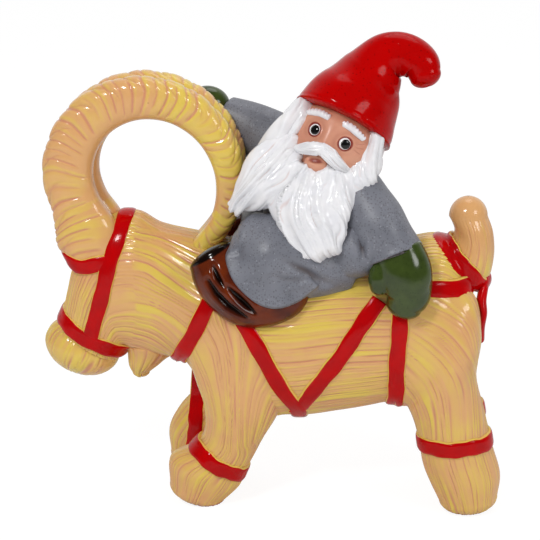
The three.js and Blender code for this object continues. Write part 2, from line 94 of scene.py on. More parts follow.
# a dome past each end; a dome of no length is a flat end
def closedEnds(ovals, domes, spacing):
    parts = {key: [value] for key, value in ovals.items()}
    for end, length in ((0, domes[0]), (-1, domes[1])):
        centre, u, v, along, run = (ovals[key][end] for key in ("centre", "u", "v", "along", "run"))
        way = 1 if end else -1
        count = max(6, int(1.6 * length / spacing))
        turn = np.linspace(0, math.pi / 2, count + 1)[1:]
        scale = np.cos(turn) if length else np.linspace(1, 0, count + 1)[1:]
        shift = length * np.sin(turn)
        scale[-1] = 0
        extra = {
            "centre": centre + way * shift[:, None] * along,
            "u": u * scale[:, None],
            "v": v * scale[:, None],
            "along": np.repeat(along[None], count, 0),
            "run": run + way * shift,
        }
        for key, value in extra.items():
            if end:
                parts[key].append(value)
            else:
                parts[key].insert(0, value[::-1])
    return {key: np.concatenate(value) for key, value in parts.items()}


# a bundle seen from the side, whose rungs are [inner x, z, outer x, z, half width, middle y]
def bundlePoints(shape, side=1, lead=0):
    table = [(list(rung) + [0])[:6] for rung in shape["rungs"]]
    rows, run = evenly(table, shape["spacing"], lambda r: (r[:, 0:2] + r[:, 2:4]) / 2)
    a = np.stack([rows[:, 0], rows[:, 5] * side, rows[:, 1]], 1)
    b = np.stack([rows[:, 2], rows[:, 5] * side, rows[:, 3]], 1)
    u = (b - a) / 2
    v = np.zeros_like(u)
    v[:, 1] = rows[:, 4]
    along = unit(np.cross(u, v))
    centre = (a + b) / 2
    if np.dot(centre[1] - centre[0], along[0]) < 0:
        along = -along
    ovals = {"centre": centre, "u": u, "v": v, "along": along, "run": run}
    ovals = closedEnds(ovals, shape["domes"], shape["spacing"])
    points, run, angle = ringsOf(ovals, shape["sides"], shape["power"])
    points[:, :, 0] -= lead
    return points, run, angle


# a limb along a path whose stops are [x, y, z, radius across, radius in depth], z counted from its base
def limbPoints(stops, domes, sides, spacing=0.8, base=back):
    table = [(list(stop) + [stop[3]])[:5] for stop in stops]
    rows, run = evenly(table, spacing, lambda r: r[:, :3])
    centre = rows[:, :3] + [0, 0, base]
    along = unit(np.gradient(centre, axis=0))
    u = unit(np.array([0.0, 1, 0]) - along[:, 1:2] * along)
    v = np.cross(along, u)
    ovals = {"centre": centre, "u": u * rows[:, 3:4], "v": v * rows[:, 4:5], "along": along, "run": run}
    return ringsOf(closedEnds(ovals, domes, spacing), sides)


# a ball whose rings run from its upper pole to its lower one
def ballPoints(shape, centre, pose=None):
    radii = shape["radii"]
    polar = np.linspace(0, math.pi, shape["rings"])[:, None]
    angle = np.linspace(0, turnRound, shape["sides"] + 1)[None, :]
    local = np.stack([np.sin(polar) * np.cos(angle) * radii[0], np.sin(polar) * np.sin(angle) * radii[1],
                      np.cos(polar) * radii[2] + 0 * angle], 2)
    local[:, -1] = local[:, 0]
    local[0], local[-1] = (0, 0, radii[2]), (0, 0, -radii[2])
    if pose is not None:
        local = local @ np.array(pose.to_3x3()).T
    return local + np.array(centre), polar * max(radii), angle


def normalsOf(points):
    ring = points[:, :-1]
    around = np.roll(ring, -1, 1) - np.roll(ring, 1, 1)
    around = np.concatenate([around, around[:, :1]], 1)
    normals = np.cross(np.gradient(points, axis=0), around)
    normals /= np.maximum(np.linalg.norm(normals, axis=2, keepdims=True), 1e-9)
    normals[0], normals[-1] = normals[1].mean(0), normals[-2].mean(0)
    outward = points - ring.mean(1, keepdims=True)
    return normals if (normals * outward).sum() > 0 else -normals


def raised(points, height):
    return points + normalsOf(points) * height[..., None]


# a wavy field that closes on itself round each ring
def ripples(rng, run, angle, lengths=(30, 90), turns=(0, 1, 2, 3)):
    terms = 6
    total = 0
    for _ in range(terms):
        sweep = turnRound * run / rng.uniform(*lengths) * rng.choice([-1, 1])
        total = total + np.sin(rng.choice(turns) * angle + sweep + rng.uniform(0, turnRound))
    return total / math.sqrt(terms)


# where the parts of a strand lie across it, as shares of its width from its groove, and how wide they are
strandLook = {"ridgeAt": 0.3, "ridgeWidth": 0.14, "ridgeHeight": 0.3, "fineAt": 0.62, "fineWidth": 0.06,
              "fineDepth": 0.5}


# Straw lines pressed into soft clay: height, share of a groove, and how yellow the glaze is. Each strand
# has a yellow ridge beside its groove; lines fade in and out along their length, and some hold a finer line.
def strandLines(run, angle, style):
    rng = np.random.RandomState(style["seed"])
    look, count = strandLook, style["strands"]
    drift = ripples(rng, run, angle, style.get("lengths", (60, 180)))
    phase = count * angle / turnRound + style["wander"] * drift
    for turns in (5, 8, 13):
        phase = phase + 0.25 * np.sin(turns * angle + rng.uniform(0, turnRound))
    within = phase - np.floor(phase)
    strand = np.floor(phase).astype(int) % count
    nearest = np.rint(phase).astype(int) % count
    lengths, starts = rng.uniform(*style["strokes"], count), rng.uniform(0, turnRound, count)
    strength = np.clip(0.75 + 0.6 * np.sin(turnRound * run / lengths[nearest] + starts[nearest]), 0.25, 1)
    strength = strength * rng.uniform(0.6, 1, count)[nearest]
    groove = bell(within - np.rint(within), style["sharp"]) * strength
    hasFine = rng.choice([0, 1], count, p=[0.5, 0.5])[strand]
    fine = bell(within - look["fineAt"], look["fineWidth"]) * look["fineDepth"] * hasFine
    along = 0.5 + 0.5 * np.sin(turnRound * run / (1.3 * lengths[strand]) + 2 * starts[strand])
    ridge = bell(within - look["ridgeAt"], look["ridgeWidth"]) * rng.uniform(0.35, 1, count)[strand]
    ridge = ridge * (0.4 + 0.6 * along)
    pooled = rng.choice([0, 0.45, 0.9], count, p=[0.6, 0.25, 0.15])[strand]
    tone = np.maximum(ridge, pooled * along * (1 - groove))
    groove = np.maximum(groove, fine)
    return style["depth"] * (look["ridgeHeight"] * ridge - groove), groove, tone


# Where a place of the side view lies across a set of guide lines, as a value between those of the lines
def guideField(guides, values, count=40):
    lines = []
    for guide in guides:
        rows, run = evenly(guide, 0.5, lambda r: r)
        places = np.linspace(0, run[-1], count)
        lines.append(np.stack([np.interp(places, run, rows[:, k]) for k in (0, 1)], 1))
    lines = np.stack(lines)
    steps = np.linspace(0, len(guides) - 1, 8 * len(guides))
    low = np.minimum(steps.astype(int), len(guides) - 2)
    share = (steps - low)[:, None, None]
    dense = lines[low] * (1 - share) + lines[low + 1] * share
    finder = KDTree(dense.shape[0] * count)
    for i, (x, z) in enumerate(dense.reshape(-1, 2)):
        finder.insert((x, 0, z), i)
    finder.balance()

    def field(x, z):
        flat = np.stack([np.ravel(x), np.ravel(z)], 1)
        nearest = np.array([finder.find((px, 0, pz))[1] for px, pz in flat])
        a, b = steps[nearest // count], (nearest % count).astype(float)
        for _ in range(5):
            i, j = np.clip(a.astype(int), 0, len(guides) - 2), np.clip(b.astype(int), 0, count - 2)
            f, g = (a - i)[:, None], (b - j)[:, None]
            left = lines[i, j] * (1 - g) + lines[i, j + 1] * g
            right = lines[i + 1, j] * (1 - g) + lines[i + 1, j + 1] * g
            down = (lines[i, j + 1] - lines[i, j]) * (1 - f) + (lines[i + 1, j + 1] - lines[i + 1, j]) * f
            off = flat - left * (1 - f) - right * f
            across = right - left
            area = across[:, 0] * down[:, 1] - across[:, 1] * down[:, 0]
            area = np.where(np.abs(area) < 1e-6, 1e-6, area)
            acrossStep = (off[:, 0] * down[:, 1] - off[:, 1] * down[:, 0]) / area
            downStep = (across[:, 0] * off[:, 1] - across[:, 1] * off[:, 0]) / area
            a = np.clip(a + np.clip(acrossStep, -0.5, 0.5), -0.5, len(guides) - 0.5)
            b = np.clip(b + np.clip(downStep, -3, 3), -9, count + 8)
        before = np.clip(-a, 0, None) * (values[1] - values[0])
        after = np.clip(a - len(guides) + 1, 0, None) * (values[-1] - values[-2])
        value = np.interp(a, range(len(guides)), values) - before + after
        return value.reshape(np.shape(x)), (b / count).reshape(np.shape(x))

    return field


trees = {}  # each finished piece's own BVH tree, in metres, for the pieces that are laid on it


# a grid wrapped onto rows of points; equal points are welded, so rows close to rings and end rings to poles
def addSkin(bm, points, depth=0.0, tone=0.0):
    floats = bm.verts.layers.float
    layers = [floats.get(name) or floats.new(name) for name in layerNames]
    rows, columns = points.shape[:2]
    found = bmesh.ops.create_grid(bm, x_segments=columns - 1, y_segments=rows - 1, size=1)["verts"]
    places = np.array([v.co for v in found])
    column = np.rint((places[:, 0] + 1) / 2 * (columns - 1)).astype(int)
    row = np.rint((places[:, 1] + 1) / 2 * (rows - 1)).astype(int)
    metres = (points[row, column] + originShift) * mm
    depths = (np.zeros((rows, columns)) + depth)[row, column]
    tones = (np.zeros((rows, columns)) + tone)[row, column]
    for v, place, d, t in zip(found, metres, depths, tones):
        v.co = place
        v[layers[0]] = d
        v[layers[1]] = t
    bmesh.ops.remove_doubles(bm, verts=found, dist=weldReach)
    bmesh.ops.recalc_face_normals(bm, faces=bm.faces)


def treeOf(*groups):
    bm = bmesh.new()
    for points in groups:
        addSkin(bm, points)
    tree = BVHTree.FromBMesh(bm)
    bm.free()
    return tree


def newObject(name, data):
    item = bpy.data.objects.new(name, data)
    bpy.context.scene.collection.objects.link(item)
    return item


# the finished piece rides on the frame's one body and stands for the CAD node of its name
def finishPiece(bm, node, glaze):
    material, slotName = glaze
    trees[node] = BVHTree.FromBMesh(bm)
    mesh = bpy.data.meshes.new(node + "_glazed")
    bm.to_mesh(mesh)
    bm.free()
    mesh.shade_smooth()
    piece = newObject(node + "_glazed", mesh)
    mesh.materials.append(material)
    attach(piece, "root")
    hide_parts(node)
    print("piece", node, len(mesh.polygons), "faces")


def placesOf(bm):
    return np.array([v.co for v in bm.verts]) / mm - originShift


# moves a piece's vertices along their normals: relief takes places (mm) and gives heights, depth and tone
def carve(bm, relief):
    bm.normal_update()
    places = placesOf(bm)
    normals = np.array([v.normal for v in bm.verts])
    height, depth, tone = relief(places)
    depthLayer, toneLayer = (bm.verts.layers.float[name] for name in layerNames)
    moved = (places + normals * height[:, None] + originShift) * mm
    for v, place, d, t in zip(bm.verts, moved, depth + 0 * height, tone + 0 * height):
        v.co = place
        v[depthLayer] = d
        v[toneLayer] = t


# a piece of one skin, carved where it has a relief
def skinPiece(node, glaze, points, depth=0.0, tone=0.0, relief=None):
    bm = bmesh.new()
    addSkin(bm, points, depth, tone)
    if relief:
        carve(bm, relief)
    finishPiece(bm, node, glaze)


# how far a skin swells where it comes near other clay, so that one runs softly into the other
def swellNear(points, neighbours, reach=7.0):
    flat = (points.reshape(-1, 3) + originShift) * mm
    swell = np.zeros(len(flat))
    for tree in neighbours:
        for i, place in enumerate(flat):
            distance = tree.find_nearest(place, reach * mm)[3]
            if distance is not None:
                swell[i] += reach / 4 * (1 - distance / mm / reach) ** 2
    return swell.reshape(points.shape[:2])


drape = {"lift": 0.6, "floor": 40, "reach": 100, "start": 4, "sink": 0.5, "soft": 3, "fill": 0.75}  # mm


# one half of a bundle laid over the barrel's side where it would sink into it, and let down at its edges
def drapeOver(points, run, angle, tree, side):
    points = points.copy()
    outer = side * np.sin(angle[0]) >= -1e-6
    edge = 1 - np.abs(np.cos(angle[0])) ** 10
    for row in range(points.shape[0]):
        keep = edge * ease(0, drape["start"], run[row, 0])
        for column in np.nonzero(outer)[0]:
            x, y, z = points[row, column]
            if z < drape["floor"]:
                continue
            start = Vector(((x + originShift[0]) * mm, side * drape["reach"] * mm, z * mm))
            hit = tree.ray_cast(start, Vector((0, -side, 0)))[0]
            if hit is None:
                continue
            own = side * y
            carried = side * (hit.y / mm - originShift[1])
            carried += drape["lift"] * keep[column] - drape["sink"] * (1 - keep[column])
            soft = max(0.0, 1 - abs(own - carried) / drape["soft"])
            points[row, column, 1] = side * (max(own, carried) + drape["fill"] * soft * soft)
    return points


def hexColour(text):
    parts = [int(text[i:i + 2], 16) / 255 for i in (0, 2, 4)]
    return tuple(c / 12.92 if c <= 0.04045 else ((c + 0.055) / 1.055) ** 2.4 for c in parts) + (1,)


# One node. Its inputs take numbers, hex colours or other nodes' sockets; it gives back one output.
def addNode(tree, kind, inputs=None, output=0, **settings):
    node = tree.nodes.new("ShaderNode" + kind)
    for name, value in settings.items():
        setattr(node, name, value)
    for name, value in (inputs or {}).items():
        if isinstance(value, bpy.types.NodeSocket):
            tree.links.new(value, node.inputs[name])
        else:
            node.inputs[name].default_value = hexColour(value) if isinstance(value, str) else value
    return node.outputs[output]


mixFac, mixA, mixB, mixOut = 0, 6, 7, 2  # a colour Mix node's sockets
glazeSkin = {"peelSize": 2.5, "peelHeight": 0.3, "wobbleSize": 3.125, "ragged": 1.6, "bareTop": 2.2,
             "bareBelow": 1.4}  # mm


# A fired glaze on red earthenware, and a slot name that it hands back unused. The clay shows pink in pressed
# lines, where it runs thin.
def makeGlaze(name, slotName, look):
    material = bpy.data.materials.new(name)
    material.use_nodes = True
    tree = material.node_tree
    shader = tree.nodes["Principled BSDF"]
    place = addNode(tree, "TexCoord", output="Object")
    depth, tone = (addNode(tree, "Attribute", output="Fac", attribute_name=name) for name in layerNames)

    def noise(size, detail):
        return addNode(tree, "TexNoise", {"Vector": place, "Scale": 1 / (size * mm), "Detail": detail}, "Fac")

    def calc(operation, *values, clamp=False):
        return addNode(tree, "Math", dict(enumerate(values)), operation=operation, use_clamp=clamp)

    def ranged(value, low, high, start=0.0, end=1.0, kind="LINEAR"):
        inputs = {"Value": value, "From Min": low, "From Max": high, "To Min": start, "To Max": end}
        return addNode(tree, "MapRange", inputs, "Result", interpolation_type=kind)

    def mixed(share, a, b):
        return addNode(tree, "Mix", {mixFac: share, mixA: a, mixB: b}, mixOut, data_type="RGBA")

    # clouds where the glaze pooled, with each strand's own tone over them
    clouds = noise(look["cloudSize"], 3.0)
    share = ranged(clouds, 0.36, 0.64, *look.get("cloudShare", (0.0, 1.0)))
    share = calc("MULTIPLY_ADD", tone, look.get("toneShare", 0.0), share, clamp=True)
    colour = mixed(share, look["base"], look["pooled"])

    # grooves
    low, high = look.get("grooveRange", (0.25, 0.85))
    thin = ranged(depth, low, high, 0.0, look.get("grooveShare", 1.0), "SMOOTHSTEP")
    colour = mixed(thin, colour, look["groove"])

    # specks: iron spots and pinholes, in a share of the cells that lie their spacing apart
    for spacing, size, cellShare, speckColour, strength in look.get("specks", []):
        grains = addNode(tree, "TexVoronoi", {"Vector": place, "Scale": 1 / (spacing * mm)}, "Distance")
        chosen = addNode(tree, "SeparateColor", {"Color": grains.node.outputs["Color"]}, "Red")
        spot = calc("MULTIPLY", ranged(grains, size, size * 0.4), calc("LESS_THAN", chosen, cellShare))
        colour = mixed(calc("MULTIPLY", spot, strength), colour, speckColour)

    # a second glaze brushed on where a piece's own tone says so
    if "painted" in look:
        edge = calc("ADD", tone, calc("MULTIPLY_ADD", noise(glazeSkin["wobbleSize"], 2.0), 0.5, -0.25))
        colour = mixed(ranged(edge, 0.42, 0.58, kind="SMOOTHSTEP"), colour,
                       mixed(share, look["painted"], look["paintedPooled"]))

    # bare fired clay at the soles
    if "clay" in look:
        height = addNode(tree, "SeparateXYZ", {"Vector": place}, "Z")
        ragged = calc("MULTIPLY_ADD", clouds, glazeSkin["ragged"] * mm, height)
        colour = mixed(ranged(ragged, glazeSkin["bareTop"] * mm, glazeSkin["bareBelow"] * mm), colour,
                       look["clay"])
    tree.links.new(colour, shader.inputs["Base Color"])

    # the glaze's skin: level, with a faint orange peel
    peel = noise(glazeSkin["peelSize"], 2.0)
    bump = addNode(tree, "Bump", {"Height": peel, "Strength": look.get("peel", 0.12),
                                  "Distance": glazeSkin["peelHeight"] * mm}, "Normal")
    tree.links.new(bump, shader.inputs["Normal"])
    gloss = ranged(clouds, 0.0, 1.0, look["roughness"] * 0.8, look["roughness"] * 1.25)
    tree.links.new(gloss, shader.inputs["Roughness"])
    shader.inputs["IOR"].default_value = look.get("ior", 1.5)
    return material, slotName


# Cloud sizes and speck spacings are in mm. A row of specks holds spacing, size as a share of it, share of
# the cells that have one, colour and strength.

# Yellow lead glaze over red earthenware: peach where it is thin, honey yellow where it gathers, pink clay
# in the pressed lines, all under a wet gloss.
# On the barrel its yellower top is painted light, and on the horns their paler inner wall is a painted
# reflection.
strawGlaze = makeGlaze("yellow lead glaze on earthenware", "straw_glaze", {
    "base": "dba66d", "pooled": "dfc157", "groove": "cd886c", "cloudSize": 20, "cloudShare": (-0.25, 0.4),
    "toneShare": 1.15, "grooveRange": (0.15, 0.85), "grooveShare": 0.8, "roughness": 0.16, "clay": "b0604a",
    "specks": [(9, 0.05, 0.3, "8a6a30", 0.5)],
})
# Red overglaze brushed on the raised bands, with the straw's glaze left bare at their edges.
ribbonGlaze = makeGlaze("red overglaze on earthenware ribbons", "ribbon_glaze", {
    "base": "e0b25e", "pooled": "dfc25a", "groove": "c88d66", "cloudSize": 9, "painted": "bc0003",
    "paintedPooled": "ac0408", "roughness": 0.12, "ior": 1.26,
})
# The same red all over the knot and its ends.
redGlaze = makeGlaze("red overglaze on earthenware", "ribbon_glaze", {
    "base": "c00409", "pooled": "b00a10", "groove": "8a0a0c", "cloudSize": 9, "roughness": 0.12, "ior": 1.26,
})
# Red glaze on the cap, with dark iron specks and a few pinholes that show as pale dots.
hatGlaze = makeGlaze("speckled red glaze", "cap_glaze", {
    "base": "b80101", "pooled": "ae0202", "groove": "6e0404", "cloudSize": 14, "roughness": 0.12, "ior": 1.2,
    "specks": [(1.5, 0.34, 0.4, "640404", 0.55), (6, 0.05, 0.35, "e8a0a0", 0.9)],
})
# A dry satin glaze: blue-grey with fine dark and pale grains, brown where it thins at edges, and darkened in
# the folds as painted shade.
coatGlaze = makeGlaze("speckled blue-grey satin glaze", "coat_glaze", {
    "base": "6d6f78", "pooled": "797b84", "groove": "4a3c38", "cloudSize": 12, "roughness": 0.42,
    "grooveRange": (0.1, 1.0),
    "specks": [(0.9, 0.5, 0.55, "4e4d54", 0.66), (1.3, 0.35, 0.25, "96979f", 0.6)],
})
# Copper green, nearly black where it is thick.
mittenGlaze = makeGlaze("dark green copper glaze", "mitten_glaze", {
    "base": "3b4a1c", "pooled": "2f3d14", "groove": "1c260c", "cloudSize": 8, "roughness": 0.14,
    "specks": [(1.1, 0.35, 0.4, "22300c", 0.6)],
})
# Iron brown, made near black in the creases and at its top under the coat as painted shade.
bootGlaze = makeGlaze("brown iron glaze", "boot_glaze", {
    "base": "46180d", "pooled": "6a280a", "groove": "0e0402", "cloudSize": 11, "roughness": 0.12,
    "ior": 1.36, "grooveRange": (0.05, 0.8),
})
# White tin glaze, thin enough over the hair lines for the clay to tint them pink.
whiteGlaze = makeGlaze("white tin glaze", "white_glaze", {
    "base": "e6e6ea", "pooled": "efeef0", "groove": "d8bcb4", "cloudSize": 7, "toneShare": 0.2,
    "grooveRange": (0.6, 1.0), "grooveShare": 0.7, "roughness": 0.1,
})
# Flesh-tinted satin glaze, red-brown in the painted rims round the eyes and in the mouth, and as painted
# shade round the eye sockets and beside the nose.
skinGlaze = makeGlaze("flesh-tinted satin glaze", "skin_glaze", {
    "base": "cb8a70", "pooled": "d4987c", "groove": "8a2a1c", "cloudSize": 9, "roughness": 0.34,
    "grooveRange": (0.05, 0.9),
})
# White and black enamel dots, hard and glossy.
eyeGlaze = makeGlaze("white enamel dot", "eye_white_glaze", {
    "base": "f2f2f2", "pooled": "ececee", "groove": "d0c0c0", "cloudSize": 3, "roughness": 0.08, "peel": 0.02,
})
pupilGlaze = makeGlaze("black enamel dot", "pupil_glaze", {
    "base": "080808", "pooled": "101012", "groove": "040404", "cloudSize": 2, "roughness": 0.06, "peel": 0.02,
})
print("stage materials")


# The goat's bundles of straw. Rungs are [inner x, z, outer x, z, half width, middle y], as in part.mjs
coarseSkin = {"spacing": 3.0, "sides": 40}  # for skins that only show other pieces where the clay lies

barrelShape = {
    "rungs": [
        [-42, 68, -38, 116, 22.4], [-23, 49, -21, 119, 29.7], [8, 40, 8, 121, 33], [34, 43, 34, 123, 33],
        [59, 49, 60, 124, 31], [74, 57, 78, 126, 27.7], [84, 69, 90, 114, 19.8],
    ],
    "domes": (4, 5), "power": 2.2, "sides": 780, "spacing": 1.45,
    "straw": {"strands": 84, "wander": 0.45, "strokes": (30, 90), "sharp": 0.13, "depth": 0.5, "seed": 3},
    "swellBelow": (56, 66), "calmEnds": (1, 9), "yellowFrom": (92, 120), "yellow": (0.08, 0.35),
}
headShape = {
    "rungs": [
        [-43.5, 64, -14.5, 121.5, 27], [-45, 66, -32, 125, 24], [-53, 66.5, -50, 129, 21.5],
        [-61, 68, -63, 135, 20], [-66, 70, -81, 128, 19], [-67.5, 70, -90, 112, 19],
        [-68.5, 69.5, -94, 98, 18], [-69.5, 68, -96.5, 88, 17], [-71, 64, -99, 82, 16.5],
    ],
    "domes": (0, 1), "power": 2.2, "sides": 520, "spacing": 0.75,
    "straw": {"strands": 56, "wander": 0.3, "strokes": (25, 70), "sharp": 0.13, "depth": 0.5, "seed": 5},
    # lines of the neck's sides, from the headstall to the neck band; the face's own lines end at its border
    "guides": [
        [(-58, 141.5), (-46, 138), (-34, 135), (-20, 133)],
        [(-60, 133.5), (-46.5, 129.5), (-36, 127), (-18, 123)],
        [(-61, 127.5), (-46.6, 123.5), (-36.5, 119.8), (-18, 113)],
        [(-62, 119), (-53, 116.7), (-45.6, 113), (-35.4, 106.5), (-18, 98)],
        [(-62.5, 113.5), (-54, 112), (-46.3, 107.5), (-31.6, 99.8), (-18, 93)],
        [(-64, 107), (-57.3, 106), (-51.6, 103.4), (-44, 100.2), (-33.6, 95.5), (-22, 89)],
        [(-66, 101.5), (-60, 101.1), (-53, 100), (-45.2, 96.8), (-36.3, 91.6), (-24, 84)],
        [(-66, 97.5), (-57.6, 97.1), (-51.1, 96), (-44, 92.8), (-37.6, 88.8), (-27, 80)],
        [(-66, 91.5), (-57.1, 90.4), (-50.6, 89.2), (-45.5, 85.9), (-38, 78), (-32, 70)],
        [(-66, 78), (-58, 77), (-52, 74.5), (-46, 70), (-40, 64)],
    ],
    "guideLines": [0, 4.5, 7, 11, 13, 16, 17.7, 19.4, 22, 27],
    "border": [(-60, 140), (-60.5, 122), (-61, 114), (-60, 106), (-59.3, 95), (-60, 88), (-64, 70)],
}
frontLegShape = {
    "rungs": [
        [-27, 103, -15, 103, 12, 15], [-33, 92, -4, 92, 13, 15], [-37, 77, 10, 66, 15, 17],
        [-33, 62, 6, 47, 15, 18], [-29, 49, -1.5, 33, 14, 18], [-29, 36, -7, 22, 13, 18],
        [-35, 28, -10, 17, 13, 18], [-45, 22, -12.5, 9, 13.5, 18], [-45.5, 9, -20, 1, 11.5, 18],
    ],
    "domes": (0, 6), "power": 2.0, "sides": 360, "spacing": 0.8,
    "straw": {"strands": 40, "wander": 0.2, "strokes": (25, 80), "sharp": 0.14, "depth": 0.5, "seed": 8},
    # the lines of its outer face, from the front edge to the rear one, and their angles round the leg
    "guides": [
        [(-36, 84), (-36, 77), (-33, 62), (-29.5, 49), (-29, 36), (-32, 30)],
        [(-34.5, 84), (-32.8, 76.8), (-26.9, 65.8), (-24.7, 59.5), (-22.5, 49.9), (-22.5, 41.7), (-26.5, 29)],
        [(-30, 90), (-28.9, 86.4), (-23.8, 77.1), (-21.6, 66), (-19.7, 54.8), (-19.3, 42.6), (-22, 28)],
        [(-25.5, 94), (-24.3, 91.3), (-19.9, 82.7), (-17.8, 70.9), (-16.6, 54.9), (-16.8, 38.6), (-18.5, 26)],
        [(-20.5, 95), (-16.2, 82.1), (-14.8, 71), (-14.2, 55), (-15, 40.3), (-16, 24)],
        [(-14.5, 95), (-12.5, 79), (-12.6, 63.1), (-13.1, 46.9), (-13.6, 22)],
        [(-9.5, 95), (-9.5, 84), (-9.5, 75.1), (-10.7, 63.1), (-11.2, 47), (-11.3, 22)],
        [(-3, 92), (-5.8, 78.4), (-7.3, 66.4), (-8.9, 53.5), (-9.6, 38.8), (-9.4, 20)],
        [(1.5, 84), (-0.6, 69.8), (-4.3, 60.1), (-6.2, 48.7), (-7.4, 37.3), (-7.9, 20)],
        [(5.5, 76), (3.9, 63.6), (0.4, 55.4), (-2.6, 43.9), (-5.8, 29.9), (-6.8, 18)],
        [(10, 68), (7, 52), (2, 40), (-3, 28), (-6, 17)],
    ],
    "guideAngles": [0, 38, 62, 82, 97, 110, 123, 136, 149, 163, 180], "ankle": (24, 40),
}
steppingLegShape = dict(frontLegShape, rungs=[
    [-31, 103, -19, 103, 12, 15], [-37, 92, -8, 92, 13, 15], [-41, 77, 6, 66, 15, 17],
    [-37, 62, 2, 47, 15, 18],
    [-34.5, 51, -5.5, 33, 14, 18], [-37.5, 42, -12, 21, 13.5, 18], [-45, 33, -17, 10, 13.5, 18],
    [-50.5, 22, -24, 3, 12.5, 18], [-50, 10, -30, -2, 11, 18],
], domes=(0, 4), guideLead=4, ankle=(30, 48))
hindLegShape = {
    "rungs": [
        [58.5, 50, 60.5, 106, 14, 16], [62, 50, 78, 108, 14.5, 16.5], [64, 50, 92, 104.5, 15, 17],
        [65, 49, 96.5, 86, 15.5, 18], [67.5, 43, 95, 66, 14.5, 18], [70, 34, 99, 50, 13.5, 18],
        [72, 23, 103, 34, 13.5, 18], [75, 15, 107.5, 19, 13.5, 18], [80, 4.5, 106.8, 7.5, 12, 18],
    ],
    "domes": (0, 7.5), "power": 2.0, "sides": 360, "spacing": 0.8,
    "straw": {"strands": 40, "wander": 0.2, "strokes": (25, 80), "sharp": 0.14, "depth": 0.5, "seed": 12},
    "guides": [
        [(57, 51), (60, 50.5), (63.5, 49), (66.5, 43.5), (69.5, 34)],
        [(57, 66), (60.5, 62.5), (66.7, 51.5), (70.1, 41), (72, 33)],
        [(57, 78), (60.5, 74), (64, 69.6), (70.4, 61.2), (75.2, 50.8), (76.9, 38.3), (77.5, 32)],
        [(57, 84), (60.5, 81.5), (65.1, 77.2), (72.9, 68.9), (77.6, 58.6), (80.9, 39.4), (81.8, 32)],
        [(57, 90.5), (60.5, 88.8), (65.3, 85.7), (73.4, 79.3), (81.6, 70.1), (85.6, 56.9), (87.6, 39.6),
         (88.3, 32)],
        [(57, 98), (60.5, 96.5), (66, 93.1), (75.9, 86), (85, 75.9), (90.7, 63.8), (93.3, 41.8), (94, 33)],
        [(57, 102.5), (60.5, 101.5), (69.4, 96.9), (80, 91.7), (89.1, 81.7), (94.9, 68.6), (98, 46.8),
         (98.6, 34)],
        [(64, 107), (75.4, 100.8), (84.2, 96.4), (90.6, 89.2), (96, 66.8), (99.6, 51.6), (101, 35)],
        [(82, 110), (92.5, 103.5), (97, 86), (96.5, 66), (100.5, 50), (103.5, 36)],
    ],
    "guideAngles": [0, 27, 57, 74, 97, 119, 141, 156, 180], "ankle": (30, 44),
}
tailShape = {
    "rungs": [
        [84, 112, 92, 100, 12], [82, 122, 99, 105, 12.5], [83.6, 129, 101.7, 117, 11.5],
        [82.4, 133, 101, 128, 10.6], [80.9, 135.6, 98.2, 136, 9],
    ],
    "domes": (0, 9), "power": 2.0, "sides": 240, "spacing": 0.6,
    "straw": {"strands": 24, "wander": 0.2, "strokes": (20, 60), "sharp": 0.14, "depth": 0.4, "seed": 15},
    "calmTop": (132, 140), "yellow": -0.35,
}
goatBeardShape = {
    "rungs": [
        [-66.3, 80, -43.5, 80, 11], [-66.8, 68, -45.8, 69, 10], [-66.7, 60.5, -51, 62, 7.6],
        [-65, 56.3, -57, 56.8, 4.6],
    ],
    "domes": (1, 2.5), "power": 2.0, "sides": 170, "spacing": 0.6,
    "straw": {"strands": 15, "wander": 0.25, "strokes": (20, 60), "sharp": 0.16, "depth": 0.6, "seed": 19},
}
muzzleShape = {
    "centre": (-88.5, 0, 69), "radii": (18, 17, 13), "turn": 22, "rings": 100, "sides": 280,
    "calmEnds": (2, 12), "calmMouth": (10, 2), "yellow": 0.2,
    "straw": {"strands": 28, "wander": 0.2, "strokes": (20, 50), "sharp": 0.17, "depth": 0.6, "seed": 23},
}


# presses the straw lines into a skin, after letting it swell; calm is how far the lines are let in
def strawPiece(node, points, run, angle, style, swell=0.0, calm=1.0, yellow=0.0):
    height, groove, tone = strandLines(run, angle, style)
    bm = bmesh.new()
    addSkin(bm, raised(points, height * calm + swell), groove * calm, tone * (0.3 + 0.7 * calm) + yellow)
    for v in bm.verts:
        v.co.z = max(v.co.z, 0.0)  # the soles stand level
    finishPiece(bm, node, strawGlaze)


coarseBarrel = treeOf(bundlePoints(dict(barrelShape, **coarseSkin))[0])
coarseHead = treeOf(bundlePoints(dict(headShape, **coarseSkin))[0])
legs = [("front_left_leg", frontLegShape, -1, 0), ("front_right_leg", steppingLegShape, 1, 0),
        ("hind_left_leg", hindLegShape, -1, 0), ("hind_right_leg", hindLegShape, 1, 1.5)]
coarseLegs = [treeOf(bundlePoints(dict(shape, **coarseSkin), side, lead)[0])
              for node, shape, side, lead in legs]

points, run, angle = bundlePoints(barrelShape)
swell = swellNear(points, coarseLegs) * (1 - ease(*barrelShape["swellBelow"], points[:, :, 2]))
# painted light: the barrel's glaze made yellower and lighter towards its top, as if lit from above, over an
# even tint
low, more = barrelShape["yellow"]
yellow = more * ease(*barrelShape["yellowFrom"], points[:, :, 2]) + low
calm = ease(*barrelShape["calmEnds"], run) * ease(*barrelShape["calmEnds"], run.max() - run)
strawPiece("goat_barrel", points, run, angle, barrelShape["straw"], swell, calm, yellow)

